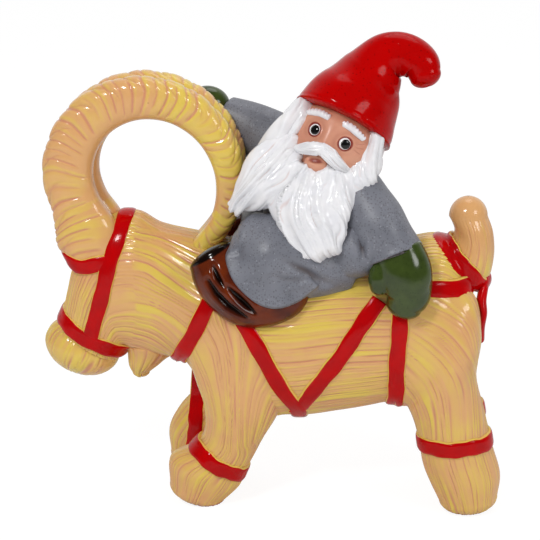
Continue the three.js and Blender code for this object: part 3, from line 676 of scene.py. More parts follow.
for node, shape, side, lead in legs:
    points, run, angle = bundlePoints(shape, side, lead)
    points = drapeOver(points, run, angle, coarseBarrel, side)
    outer = side * np.sin(angle) > 0
    field = guideField(shape["guides"], np.radians(shape["guideAngles"]))
    guided = field(points[:, :, 0] + lead + shape.get("guideLead", 0), points[:, :, 2])[0]
    guided = np.where(outer, math.pi - side * guided, angle)
    inside = np.abs(np.sin(angle)) ** 0.5 * ease(*shape["ankle"], points[:, :, 2])
    lineAngle = angle + (guided - angle) * np.minimum(1, 2 * inside) * outer
    style = dict(shape["straw"], seed=shape["straw"]["seed"] + (side > 0))
    strawPiece(node, points, run, lineAngle, style)

# the head: the face's lines run along it, the neck's follow their guides, and they meet at the border
points, run, angle = bundlePoints(headShape)
for side in (-1, 1):
    points = drapeOver(points, run, angle, coarseBarrel, side)
style = headShape["straw"]
field = guideField(headShape["guides"], np.array(headShape["guideLines"], float))
across = field(points[:, :, 0], points[:, :, 2])[0]
neck = strandLines(points[:, :, 0] + 60, across * turnRound / style["strands"], style)
face = strandLines(run, angle, dict(style, seed=6))
edge = np.array(headShape["border"])[::-1]
isNeck = ease(-0.8, 0.8, points[:, :, 0] - np.interp(points[:, :, 2], edge[:, 1], edge[:, 0]))
isSide = ease(0.25, 0.5, np.abs(np.sin(angle)))
height, groove, tone = (f + (n - f) * isNeck * isSide for f, n in zip(face, neck))
skinPiece("goat_head", strawGlaze, raised(points, height), groove, tone)

points, run, angle = bundlePoints(goatBeardShape)
strawPiece("goat_beard", points, run, angle, goatBeardShape["straw"], swellNear(points, [coarseHead], 5.0))

points, run, angle = bundlePoints(tailShape)
calm = (1 - ease(*tailShape["calmTop"], points[:, :, 2])) * 0.8 + 0.05
strawPiece("goat_tail", points, run, angle, tailShape["straw"], 0, calm, tailShape["yellow"])

turnMuzzle = Matrix.Rotation(math.radians(muzzleShape["turn"]), 4, "Y")
points, run, angle = ballPoints(muzzleShape, muzzleShape["centre"], turnMuzzle)
farEnd = [run.max() - distance for distance in muzzleShape["calmMouth"]]
calm = ease(*muzzleShape["calmEnds"], run) * (1 - ease(*farEnd, run)) + 0 * angle
strawPiece("goat_muzzle", points, run, angle, muzzleShape["straw"], 0, calm, muzzleShape["yellow"])
print("stage goat")

# The pair of horns: straw wound slantwise, smooth inside the curl, meeting in a seam
hornShape = {
    "root": [[-66, 116, -86, 106, 8.4, 8.55], [-69.5, 131, -96, 121, 8.4, 8.55]],
    "curl": (-56.5, 152.5), "radius": 45.5, "rootThickness": 23, "tipThickness": 8, "start": 206, "end": -58,
    "width": 15, "seam": 0.15, "rungCount": 10, "sides": 112, "spacing": 0.42, "power": 2.5, "domes": (0, 6),
    "wraps": 17, "wrapRise": 0.6, "wrapGroove": 0.6, "wrapSharp": 0.05,
    "leaves": 200, "strokeSpacing": 4.6, "strokeDepth": 0.6, "strokeSharp": 0.13, "rimBend": 1.1,
    "innerBend": 0.5,
    "innerEnds": (-0.95, -0.15), "outerEnds": (0.7, 1.3), "ridgeAt": 0.27, "ridgeWidth": 0.15,
}


def hornRungs():
    shape, last = hornShape, hornShape["rungCount"] - 1
    rungs = list(shape["root"])
    for i in range(last + 1):
        t = i / last
        angle = math.radians(shape["start"] + (shape["end"] - shape["start"]) * t)
        thickness = shape["rootThickness"] + (shape["tipThickness"] - shape["rootThickness"]) * t ** 1.6
        half = shape["width"] / 2 * (1 - 0.2 * t * t)
        (x, z), outer = shape["curl"], shape["radius"]
        inner = outer - thickness
        rungs.append([x + inner * math.cos(angle), z + inner * math.sin(angle),
                      x + outer * math.cos(angle), z + outer * math.sin(angle), half, half + shape["seam"]])
    return rungs


for node, side in (("left_horn", -1), ("right_horn", 1)):
    shape = dict(hornShape, rungs=hornRungs())
    points, run, angle = bundlePoints(shape, side)
    rng = np.random.RandomState(31 + side)
    t = np.clip(run / run.max(), 0, 1)
    outward = np.cos(angle)  # 1 on the outer rim, -1 on the inner wall
    offSeam = np.minimum(1, 1 + side * np.sin(angle))
    # winding by winding, as in the part's source
    turn = t * shape["wraps"] + 0.35 * np.sin(angle) + 0.25 * np.cos(2 * angle)
    within = turn - np.floor(turn)
    wraps = shape["wrapRise"] * (0.5 + 0.5 * outward) * offSeam * np.sin(math.pi * within ** 0.7)
    # strokes from the rim towards the inner wall, bent back at the rim like leaves
    phase = run / shape["strokeSpacing"] + shape["rimBend"] * np.clip(outward, 0, 1) ** 2
    phase = phase - shape["innerBend"] * outward + 0.3 * ripples(rng, run, angle, (25, 60), (0, 1))
    count = shape["leaves"]
    nearest, leaf = np.rint(phase).astype(int) % count, np.floor(phase).astype(int) % count
    innerEnd = rng.uniform(*shape["innerEnds"], count)[nearest]
    outerEnd = rng.uniform(*shape["outerEnds"], count)[nearest]
    fromInner = outward - innerEnd
    strength = ease(0, 0.35, fromInner) * (1 - ease(0, 0.25, outward - outerEnd))
    strength = strength * rng.uniform(0.45, 1, count)[nearest] * ease(0.1, 0.6, offSeam)
    beside = phase - np.rint(phase)
    groove = bell(beside, shape["strokeSharp"]) * strength
    winding = shape["wrapGroove"] * bell(within - 0.97, shape["wrapSharp"])
    groove = np.maximum(groove, winding * ease(-0.1, 0.5, outward) * ease(0.2, 0.7, offSeam))
    ridge = bell(beside - shape["ridgeAt"], shape["ridgeWidth"]) * rng.uniform(0.2, 1, count)[leaf]
    ridge = ridge * ease(-0.1, 0.3, fromInner)
    tone = rng.choice([0, 0.4, 0.9], count, p=[0.5, 0.25, 0.25])[leaf] * ease(-0.6, 0.1, fromInner + 0.3)
    # yellower towards the tip, and paler on the inner wall as a painted reflection of the pale room
    tone = np.maximum(ridge, tone) * (0.5 + 0.5 * ease(0.35, 0.7, t)) + 0.4 * ease(0.4, 0.75, t) - 0.1
    # painted reflection: the inner wall made less yellow
    tone = tone - 0.25 * ease(0.2, 0.9, -outward)
    skinPiece(node, strawGlaze, raised(points, wraps - shape["strokeDepth"] * groove), groove, tone)
print("stage horns")

# Raised ribbons: each is laid on the clay by rays towards its middle, so it follows straw, horns and legs
ribbonShape = {
    "width": 6.8, "vWidth": 7.0, "border": 0.6, "rise": 1.5,
    "waver": 0.25, "widen": 0.045, "waveRows": 60,  # brushed by hand
    "reach": 90, "soften": 3.0, "window": 12, "level": 0.4,  # how softly it follows the straw under it
    "dipAt": 62, "dipWidth": 24,  # degrees from its top
}


# where a section swept along its origins comes to lie on the carriers, with its paint
def strapPoints(carriers, origins, inward, across, section, closed=False, lift=0.0):
    shape, window = ribbonShape, ribbonShape["window"]
    offsets, heights, paint = (np.array(values) for values in zip(*section))
    # a little off the line here, a little wider there
    rows = np.arange(len(origins))
    waves, turns = max(1, round(len(rows) / shape["waveRows"])), turnRound * rows / len(rows)
    offsets = (offsets * (1 + shape["widen"] * np.sin((2 * waves + 1) * turns))[:, None]
               + shape["waver"] * np.sin(waves * turns + 1)[:, None])
    depth = np.full((len(origins), len(section)), np.nan)
    for i, way in enumerate(inward):
        for j, offset in enumerate(offsets[i]):
            start = Vector((origins[i] + across[i] * offset + originShift - way * shape["reach"]) * mm)
            hits = [tree.ray_cast(start, Vector(way))[3] for tree in carriers]
            hits = [hit for hit in hits if hit is not None]
            if hits:
                depth[i, j] = min(hits) / mm
    middle = np.nanmean(depth, axis=1)
    middle = np.where(np.isnan(middle), np.nanmean(middle), middle)
    depth = np.where(np.isnan(depth), middle[:, None], depth)
    laid = origins + inward * (middle - shape["reach"])[:, None]
    step = np.linalg.norm(np.diff(laid, axis=0), axis=1).mean()
    kernel = np.exp(-0.5 * (np.arange(-window, window + 1) * step / shape["soften"]) ** 2)
    kernel /= kernel.sum()
    padded = np.pad(depth, ((window, window), (0, 0)), "wrap" if closed else "edge")
    depth = np.stack([np.convolve(column, kernel, "valid") for column in padded.T], 1)
    depth = (1 - shape["level"]) * depth + shape["level"] * depth.mean(1, keepdims=True)
    points = (origins[:, None] + across[:, None] * offsets[..., None]
              + inward[:, None] * (depth - shape["reach"] - heights * shape["rise"] - lift)[..., None])
    points = np.concatenate([points, points[:, :1]], 1)
    caps = [0 * end + end.mean(1, keepdims=True) for end in (points[:1], points[-1:])]
    points = np.concatenate([points, points[:1]] if closed else [caps[0], points, caps[1]])
    return points, np.concatenate([paint, paint[:1]])[None, :]


# a ribbon's section, from edge to edge, holds offset across, height as a share of the rise, and paint
def layStrap(carriers, origins, inward, across, width=ribbonShape["width"], closed=False, lift=0.0):
    half, border = width / 2, ribbonShape["border"]
    section = [(half + border, -0.8, 0), (half + border * 0.9, 0.05, 0), (half + 0.4, 0.45, 0),
               (half - 0.1, 0.75, 0.9), (half - 1.0, 0.95, 1), (half * 0.45, 1.0, 1), (0, 1.02, 1)]
    section = [(-v, h, p) for v, h, p in section] + [(v, h, p) for v, h, p in section[-2::-1]]
    return strapPoints([trees[node] for node in carriers], origins, inward, across, section, closed, lift)


# a ribbon in the slab across a line of the side view, from one angle round the line's middle to another;
# angle 0 points along the line, 90 to the goat's right
def slabRibbon(carriers, line, centre, start=0, end=360, dip=0.0):
    (x1, z1), (x2, z2) = line
    along = np.array([x2 - x1, 0, z2 - z1]) / math.hypot(x2 - x1, z2 - z1)
    angle = np.radians(np.linspace(start, end, max(20, int(abs(end - start) * 0.8))))
    closed = abs(end - start) == 360
    if closed:
        angle = angle[:-1]
    outward = np.cos(angle)[:, None] * along + np.sin(angle)[:, None] * np.array([0.0, 1, 0])
    middle = (np.array([x1, 0, z1]) + np.array([x2, 0, z2])) / 2
    middle = middle + along * np.dot(np.array(centre) - middle, along)
    middle[1] = centre[1]
    across = np.repeat(np.cross(along, [0, 1, 0])[None], len(angle), 0)
    sides = np.abs(np.degrees(angle) - 180) - ribbonShape["dipAt"]
    origins = middle - across * (dip * bell(sides, ribbonShape["dipWidth"]))[:, None]
    return layStrap(carriers, origins, -outward, across, closed=closed)


# the barrel's radius, where rays start, and how often a ribbon is brought back onto its line
girthShape = {"radius": 33, "firstRadius": 30, "reach": 80, "rounds": 6, "smooth": 4}


# a ribbon round the barrel that keeps to a line of the side view
def barrelRibbon(carriers, xAt, start, end, width=ribbonShape["width"], lift=0.0):
    shape = girthShape
    angle = np.radians(np.linspace(start, end, int(abs(end - start) * 1.1)))
    outward = np.stack([0 * angle, np.cos(angle), np.sin(angle)], 1)
    axis = np.stack([xAt(barrelMid + shape["firstRadius"] * np.sin(angle)), 0 * angle, barrelMid + 0 * angle],
                    1)
    for _ in range(shape["rounds"]):
        for i, way in enumerate(outward):
            origin = Vector((axis[i] + way * shape["reach"] + originShift) * mm)
            hits = [trees[node].ray_cast(origin, Vector(-way)) for node in carriers]
            hits = [hit for hit in hits if hit[0] is not None]
            if hits:
                axis[i, 0] = xAt(min(hits, key=lambda hit: hit[3])[0].z / mm)
    ends = shape["smooth"]
    kernel = np.ones(2 * ends + 1) / (2 * ends + 1)
    axis[ends:-ends, 0] = np.convolve(axis[:, 0], kernel, "valid")
    tangent = np.gradient(axis + outward * shape["radius"], axis=0)
    across = unit(np.cross(tangent, outward))
    return layStrap(carriers, axis, -outward, across, width, lift=lift)


def ribbonPiece(node, *straps):
    bm = bmesh.new()
    for points, paint in straps:
        addSkin(bm, points, 0.0, paint)
    finishPiece(bm, node, ribbonGlaze)


ribbonPiece("nose_band", slabRibbon(["goat_head", "goat_muzzle"], [(-104, 90), (-62, 65.5)], (-83, 0, 78)))
ribbonPiece("headstall", slabRibbon(["goat_head"], [(-81, 79), (-62.5, 145)], (-72, 0, 108), -165, 165))
ribbonPiece("brow_band", slabRibbon(["goat_head", "left_horn", "right_horn"], [(-100, 116), (-70, 114.6)],
                                    (-77, 0, 115), 76, 284, 2.8))
ribbonPiece("neck_band", slabRibbon(["goat_barrel", "goat_head", "front_left_leg", "front_right_leg"],
                                    [(-46, 59), (-8, 134)], (-29, 0, 90)))


# the lines of the girths in the side view, x by height, as in the part's source
def frontLine(z):
    return np.where(z > 49, -11 + (96 - z) * 26 / 47, 14.5)


def rearLine(z):
    return np.where(z > 47, 13 + (z - 47) * 40 / 61, 14.5)


def hindLine(z):
    return 58 + (z - 36) / 35


trunk = ["goat_barrel", "front_left_leg", "front_right_leg", "hind_left_leg", "hind_right_leg"]
vWidth = ribbonShape["vWidth"]
ribbonPiece("v_girth", barrelRibbon(trunk, frontLine, -210, 30, vWidth),
            barrelRibbon(trunk, rearLine, -118, -215, vWidth, -0.1),
            barrelRibbon(trunk, rearLine, -62, 35, vWidth, -0.1))
ribbonPiece("hind_girth", barrelRibbon(trunk, hindLine, -222, 42))
ribbonPiece("crupper", slabRibbon(trunk + ["goat_tail"], [(74, 131), (98, 103.5)], (85, 0, 116)))

# along the barrel's side, falling a little, and round the rump from "turnFrom" on
sideStrap = {"start": 58, "end": 102, "rows": 70, "turnFrom": 80, "turn": 60, "height": 109.8, "heightAt": 62,
             "fall": 2.6 / 34, "lift": -0.15}
x = np.linspace(sideStrap["start"], sideStrap["end"], sideStrap["rows"])
turnShare = np.clip((x - sideStrap["turnFrom"]) / (sideStrap["end"] - sideStrap["turnFrom"]), 0, 1)
turn = np.radians(sideStrap["turn"]) * turnShare
height = sideStrap["height"] - (x - sideStrap["heightAt"]) * sideStrap["fall"]
origins = np.stack([np.minimum(x, sideStrap["turnFrom"]), 0 * x, height], 1)
across = np.repeat(np.array([[0.0, 0, 1]]), len(x), 0)
for node, side in (("left_side_strap", -1), ("right_side_strap", 1)):
    inward = -np.stack([np.sin(turn), side * np.cos(turn), 0 * turn], 1)
    ribbonPiece(node, layStrap(trunk, origins, inward, across, lift=sideStrap["lift"]))

ankles = [
    ("front_left", [(-38, 32.5), (-2, 10.5)], (-19.5, -18, 21.5), (0, 360)),
    ("front_right", [(-35, 50), (-38, 7)], (-36.3, 18, 22), (45, 315)),
    ("hind_left", [(62, 33), (112, 37)], (87, -18, 35), (0, 360)),
    ("hind_right", [(60.5, 33), (110.5, 37)], (85.5, 18, 35), (0, 360)),
]
for name, line, centre, ends in ankles:
    ribbonPiece(name + "_ankle_band", slabRibbon([name + "_leg"], line, centre, *ends))

knotShape = {"centre": (97.5, 0, 106), "radii": (3.6, 10, 5), "turn": 12, "rings": 40, "sides": 60,
             "pleats": 2.5, "pleatDepth": 0.35}
ribbonEnds = {
    "upper_ribbon_end": [[97.6, -8, 105, 3, 1.8], [96.4, -11, 99.5, 2.6, 2.2], [97.2, -13, 94, 2.8, 1.8],
                         [95.8, -14, 88, 3.4, 2.4],
                         [96.4, -12.5, 82, 3.2, 1.9]],
    "lower_ribbon_end": [[97.6, 4, 105, 3, 1.8], [96.8, 3, 97, 2.6, 1.7], [95.8, 3.5, 89, 3, 2.2],
                         [96, 4, 82, 2.8, 1.7],
                         [95, 3, 75, 3.4, 2]],
}
turnKnot = Matrix.Rotation(math.radians(knotShape["turn"]), 4, "Y")
points, run, angle = ballPoints(knotShape, knotShape["centre"], turnKnot)
folds = knotShape["pleatDepth"] * np.abs(np.sin(knotShape["pleats"] * angle + 0.5))
pleats = folds * np.sin(run / run.max() * math.pi)
skinPiece("rump_knot", redGlaze, raised(points, -pleats), pleats, 1.0)
for node, stops in ribbonEnds.items():
    skinPiece(node, redGlaze, limbPoints(stops, (0, 2), 48, base=0)[0], tone=1.0)
print("stage ribbons")

# The rider


# one closed skin from several overlapping forms, then smoothed
def meltTogether(groups, voxel, rounds):
    bm = bmesh.new()
    for points in groups:
        addSkin(bm, points)
    mesh = bpy.data.meshes.new("melting")
    bm.to_mesh(mesh)
    bm.free()
    melting = newObject("melting", mesh)
    remesh = melting.modifiers.new("remesh", "REMESH")
    remesh.mode = "VOXEL"
    remesh.voxel_size = voxel * mm
    soften = melting.modifiers.new("soften", "SMOOTH")
    soften.iterations = rounds
    bpy.context.view_layer.update()
    finished = bpy.data.meshes.new_from_object(melting.evaluated_get(bpy.context.evaluated_depsgraph_get()))
    bm = bmesh.new()
    bm.from_mesh(finished)
    for name in layerNames:
        if name not in bm.verts.layers.float:
            bm.verts.layers.float.new(name)
    bpy.data.objects.remove(melting)
    bpy.data.meshes.remove(mesh)
    bpy.data.meshes.remove(finished)
    return bm


# forms are held as stops, domes and sides, and a spacing and a base where they aren't the usual ones
def formsOf(shape):
    return [limbPoints(*form)[0] for form in shape["forms"]]


# a piece melted together from overlapping forms, carved, and drawn back from the face where that stays bare
def meltedPiece(node, glaze, groups, shape, relief, opened=False):
    bm = meltTogether(groups, shape["voxel"], shape["melting"])
    carve(bm, relief)
    if opened:
        openWindow(bm)
    finishPiece(bm, node, glaze)


def mirrored(stops, side):
    return [[x, y * side] + rest for x, y, *rest in stops]


# how far flat places lie from a line of points, and where along it from 0 to 1
def fromLine(flat, line):
    line = np.array(line, float)
    lengths = np.linalg.norm(np.diff(line, axis=0), axis=1)
    starts = np.concatenate([[0], np.cumsum(lengths)]) / lengths.sum()
    best, where = np.full(len(flat), 1e9), np.zeros(len(flat))
    for a, b, start, length in zip(line[:-1], line[1:], starts, lengths):
        t = np.clip(((flat - a) @ (b - a)) / length ** 2, 0, 1)
        distance = np.linalg.norm(flat - (a + t[:, None] * (b - a)), axis=1)
        closer = distance < best
        best = np.where(closer, distance, best)
        where = np.where(closer, start + t * length / lengths.sum(), where)
    return best, where


bootShape = {
    "stops": [[17.5, 27, -13.5, 5, 5.5], [8, 29, -17.5, 10.2, 11.6], [-7, 29, -18.5, 11, 14.2],
              [-18, 28, -10.5, 11, 13.6],
              [-24, 25, -2, 9.9, 11]],
    "domes": (3, 4), "sides": 260, "spacing": 0.37,
    # pressed creases in the side view, each with its depth and half width; they are also darkened as painted
    # shade
    "creases": [([(-21.8, 120), (-19.7, 115.5), (-17.4, 112)], 1.5, 1.15),
                ([(-24, 114), (-20.6, 108.3), (-15.4, 103), (-7.6, 97.6)], 2.2, 1.5),
                ([(-15, 111.4), (-10.1, 106.7), (-3.4, 99.8)], 2.0, 1.3)],
    "lipAt": 2.6, "lipWidth": 1.2, "lipHeight": 0.5, "warmReach": 4.5, "outside": (18, 30),
    "rim": (117.6, 119.2), "rimWay": (-0.5, 0, 0.866),
}


def bootCreases(p):
    shape = bootShape
    height, depth, warm = np.zeros(len(p)), np.zeros(len(p)), np.zeros(len(p))
    outside = ease(*shape["outside"], np.abs(p[:, 1]))
    for line, deep, wide in shape["creases"]:
        distance, t = fromLine(p[:, [0, 2]], line)
        taper = np.sin(math.pi * np.clip(0.08 + 0.84 * t, 0, 1)) ** 0.6
        cut = bell(distance, wide * (0.35 + 0.65 * taper)) * outside * taper
        lip = bell(distance - shape["lipAt"], shape["lipWidth"])
        height += shape["lipHeight"] * lip * outside * taper - deep * cut
        # painted shade: each crease darkened towards near black
        depth = np.maximum(depth, cut ** 0.7)
        warm = np.maximum(warm, bell(distance, shape["warmReach"]) * outside)
    # painted shade at the boot's top, where it goes under the coat
    rim = ease(*shape["rim"], p @ np.array(shape["rimWay"]))
    return height, np.maximum(depth, rim * 0.95), warm


for node, side in (("left_leg", -1), ("right_leg", 1)):
    stops = mirrored(bootShape["stops"], side)
    points, run, angle = limbPoints(stops, bootShape["domes"], bootShape["sides"], bootShape["spacing"])
    skinPiece(node, bootGlaze, points, relief=bootCreases)

coatShape = {
    "torso": [[27, 0, -11, 30, 30], [25, 0, 1, 28, 29], [22, -1, 17, 23, 25], [22, -3, 33, 19, 25],
              [26, -4, 42, 14, 17]],
    "skirt": [[34, 16, -6, 15, 14], [18, 22, -4, 16, 16], [2, 23, -2, 18, 19.5], [-9, 21, 1, 14, 17]],
    "leftSleeve": [[32.5, -9, 31, 12, 12], [41, -16, 24, 12, 12.6], [49, -23, 13, 12, 13.2],
                   [57.5, -28, 0, 12, 12.6],
                   [61, -30, -6, 12, 12.6]],
    "cuff": ((57.5, -28, 124.6), (0.38, -0.27, -0.85)),
    "armpit": [[32, -19, 0, 12, 12], [41, -24.5, 3.5, 12.5, 12], [47, -26, 9.5, 10, 10]],
    "rightSleeve": [[14, 5, 34, 13.2, 16.8], [3, 12, 40, 12, 15], [-8, 18.5, 46.5, 10.8, 12.3],
                    [-22, 23, 52, 9, 9.4]],
    # the hem over the boot in the side view
    "hem": [(-15, 127.5), (-17, 124), (-15.2, 118.6), (-10.9, 112.1), (-5.1, 106.9), (0.7, 104.2),
            (6.5, 103.4), (12.4, 104.3),
            (17.2, 106.5), (21.5, 110.2), (24.5, 112.5)],
    "hemSection": [(-0.5, -3.0, 0), (-0.45, 0.1, 0), (0.1, 0.6, 0), (1, 0.75, 0), (5, 0.6, 0), (9, 0.3, 0),
                   (12, 0, 0), (12.5, -3.0, 0)],
    # folds in the side view, each with its depth or height and its half width; the valleys are also darkened
    # as painted shade
    "valleys": [([(11, 124), (14.5, 121.5), (19.7, 118.5), (27, 113)], 2.4, 2.3),
                ([(4, 117.6), (9, 115.6), (14.5, 114.8), (21, 117)], 1.1, 1.8),
                ([(40.8, 136.5), (42.4, 131), (43.6, 125.6)], 4.0, 1.9),
                ([(-13.4, 142), (-12.9, 134), (-10.5, 125)], 0.5, 1.2)],
    "ridges": [([(9, 111.2), (14, 112.6), (20, 114.4)], 0.7, 1.6),
               ([(26, 119.5), (33, 117), (40, 119.5)], 0.8, 4.0)],
    "outside": (14, 24), "lumps": 0.45, "sleeveLumps": 0.5, "slimmer": 0.45, "voxel": 0.62, "melting": 5,
    "torsoDomes": (4, 0), "skirtDomes": (4, 7), "armpitDomes": (5, 5), "coarseSides": 60, "coarseSpacing": 2,
}
cuffPlace, cuffWay = np.array(coatShape["cuff"][0]), unit(np.array(coatShape["cuff"][1]))


def sleeveFolds(p):
    beyond = (p - cuffPlace) @ cuffWay
    soft = np.sin(p @ np.array([0.21, 0.1, -0.13])) * np.sin(p @ np.array([0.05, 0.12, 0.19]) + 1)
    return coatShape["sleeveLumps"] * soft + 0.35 * bell(beyond + 0.9, 0.9), 0.75 * bell(beyond, 0.45), 0.0


def coatFolds(p):
    flat, height, depth = p[:, [0, 2]], np.zeros(len(p)), np.zeros(len(p))
    outside = ease(*coatShape["outside"], np.abs(p[:, 1]))
    for line, deep, wide in coatShape["valleys"]:
        distance, t = fromLine(flat, line)
        taper = 0.35 + 0.65 * np.sin(math.pi * np.clip(0.1 + 0.8 * t, 0, 1))
        cut = bell(distance, wide) * outside * taper
        height -= deep * cut
        # painted shade: the valleys darkened towards the brown groove colour, most in the deep fold by the
        # sleeve
        depth = np.maximum(depth, 0.75 * cut ** 1.5 * min(1, deep / 2))
    for line, high, wide in coatShape["ridges"]:
        height += high * bell(fromLine(flat, line)[0], wide) * outside
    soft = np.sin(p @ np.array([0.17, 0.06, -0.11]) + 2) * np.sin(p @ np.array([0.03, 0.15, 0.14]))
    hem = bell(fromLine(flat, coatShape["hem"])[0] + 0.2, 0.55)
    return height + coatShape["lumps"] * soft, np.maximum(depth, 0.7 * hem * outside), 0.0


skirts = [mirrored(coatShape["skirt"], side) for side in (-1, 1)]
coatForms = [(coatShape["torso"], coatShape["torsoDomes"])]
coatForms += [(skirt, coatShape["skirtDomes"]) for skirt in skirts]
coarse = coatShape["coarseSides"], coatShape["coarseSpacing"]
coarseCoat = treeOf(*(limbPoints(*form, *coarse)[0] for form in coatForms))
groups = [limbPoints(*coatForms[0], 80)[0]]
rows, run = evenly(coatShape["hem"], 0.8, lambda r: r)
origins = np.stack([rows[:, 0], 0 * run, rows[:, 1]], 1)
tangent = np.gradient(origins, axis=0)
across = unit(np.stack([-tangent[:, 2], 0 * run, tangent[:, 0]], 1))
for node, side, skirt in zip(("left_leg", "right_leg"), (-1, 1), skirts):
    inward = np.repeat([[0.0, -side, 0]], len(run), 0)
    groups.append(limbPoints(skirt, coatShape["skirtDomes"], 70)[0])
    groups.append(strapPoints([trees[node], coarseCoat], origins, inward, across, coatShape["hemSection"])[0])
groups.append(limbPoints(coatShape["armpit"], coatShape["armpitDomes"], 60)[0])
for stops in (coatShape["leftSleeve"][:-1], coatShape["rightSleeve"]):
    less = coatShape["slimmer"]  # the fill inside a sleeve stays under its own skin
    slimmer = [[x, y, z, a - less, b - less] for x, y, z, a, b in stops[:-1]]
    groups.append(limbPoints(slimmer, (0, 1), 70)[0])
meltedPiece("coat", coatGlaze, groups, coatShape, coatFolds)
for node, stops in (("left_sleeve", coatShape["leftSleeve"]), ("right_sleeve", coatShape["rightSleeve"])):
    points, run, angle = limbPoints(stops, (0, 0.6), 160, 0.5)
    if node == "left_sleeve":
        # cut off at the cuff's plane
        beyond = (points - cuffPlace) @ cuffWay
        way = unit(points[-2].mean(0) - points[-30].mean(0))
        points = points - way * (np.clip(beyond, 0, None) / (way @ cuffWay))[..., None]
        keep = np.abs(np.diff(points.mean(1) @ way, prepend=-999)) > 1e-3
        points = np.concatenate([points[keep], points[-1:]])
    skinPiece(node, coatGlaze, points, relief=sleeveFolds)

mittenShape = {
    "forms": [  # palm and thumb
        ([[57.5, -29, 4, 9, 11.5], [61, -31, -5, 10, 12.3], [62.8, -31.5, -14.5, 9.8, 10.4],
          [61.4, -31.5, -20.3, 8, 8]], (2, 5.5), 80),
        ([[52.5, -31, 0, 5, 5.6], [50.6, -33, -8, 5.3, 5.2], [50.4, -33, -11.5, 4.6, 4.2]], (2, 3.5), 60),
    ],
    # the soft edge between the back of the hand and the fingers
    "edge": [(50.5, 113), (54, 110), (60, 110.5), (64, 107.5), (70, 109), (73.5, 113)],
    "voxel": 0.45, "melting": 5,
}


def mittenEdge(p):
    distance, t = fromLine(p[:, [0, 2]], mittenShape["edge"])
    near = ease(-30, -36, p[:, 1])
    below = p[:, 2] < np.interp(p[:, 0], *zip(*mittenShape["edge"]))
    return -0.35 * bell(distance, 2.2) * near, 0.0, 0.4 * below * near * ease(0, 1.5, distance)


meltedPiece("left_mitten", mittenGlaze, formsOf(mittenShape), mittenShape, mittenEdge)
rightMittenShape = {"centre": (-30.5, 21, 180), "radii": (10.5, 8, 9.3), "rings": 60, "sides": 90}
skinPiece("right_mitten", mittenGlaze, ballPoints(rightMittenShape, rightMittenShape["centre"])[0])

hatShape = {
    "stops": [[32.8, -7, 55.2, 23.3], [36.4, -5.4, 62, 21.5], [40.8, -3.4, 69.2, 18.7],
              [45.4, -1.6, 76.8, 14.4],
              [51.5, -1, 84, 10.5], [59.5, -1.5, 85, 9.5], [66, -4, 82, 8.6], [68.3, -6, 77, 7]],
    "domes": (0, 5), "sides": 220, "spacing": 0.6, "seed": 61,
    "lumps": 0.3, "brimTilt": 0.25, "tiltFade": 24, "brimLine": 0.35, "brimLineAt": 1.6,
}
points, run, angle = limbPoints(*(hatShape[key] for key in ("stops", "domes", "sides", "spacing")))
rng = np.random.RandomState(hatShape["seed"])
tilt = hatShape["brimTilt"] * (1 - ease(0, hatShape["tiltFade"], run))
points[:, :, 2] -= tilt * (points[:, :, 1] - points[:, :-1, 1].mean(1, keepdims=True))
lumps = hatShape["lumps"] * ripples(rng, run, angle, (14, 40), (1, 2, 3, 4)) * ease(2, 10, run)
brimLine = hatShape["brimLine"] * bell(run - hatShape["brimLineAt"], 0.35) * (run > 0.2)
skinPiece("hat", hatGlaze, raised(points, lumps - brimLine), brimLine * 1.5)

riderHead = {"middle": (29.5, -8, back + 48), "nod": 24, "turn": -12, "radii": (19.5, 19.5, 21), "rings": 190,
             "sides": 330}
headPose = (Matrix.Translation(riderHead["middle"]) @ Matrix.Rotation(math.radians(riderHead["nod"]), 4, "Y")
            @ Matrix.Rotation(math.radians(riderHead["turn"]), 4, "Z"))
intoHead = np.array(headPose.inverted())


def inHead(*place):
    return list(headPose @ Vector(place))


def headFrame(p):
    return p @ intoHead[:3, :3].T + intoHead[:3, 3]


def onFace(x, z, lift=0.0):
    radius = riderHead["radii"][0]
    scale = (radius + lift) / radius
    return x * scale, -math.sqrt(radius ** 2 - x * x - z * z) * scale, z * scale


def facing(x, z):
    return headPose @ Vector((0, -1, 0)).rotation_difference(Vector(onFace(x, z))).to_matrix().to_4x4()


# stops given in the head's x and z with a lift off its ball, brought to the rider's frame
def stopsOnFace(rows):
    return [[*inHead(*onFace(x, z, lift)), *radii] for x, z, lift, *radii in rows]


# in the head's own x and z, in mm from its middle
faceShape = {
    "eyes": [(-7.6, 3.9), (7.3, 4.3)], "socket": (1.2, 5.2), "lid": (0.5, 3.15, 0.4),
    "nose": [(-1.6, 10), (-0.9, 5.5), (-0.4, 0.5)], "cheeks": [(-10.6, -3.4), (11.2, -2.2)],
    "wrinkles": [[(11.9, 5.6), (14.2, 6.8)], [(12.3, 4.3), (14.7, 4.6)], [(12, 3), (14.2, 2.2)]],
}


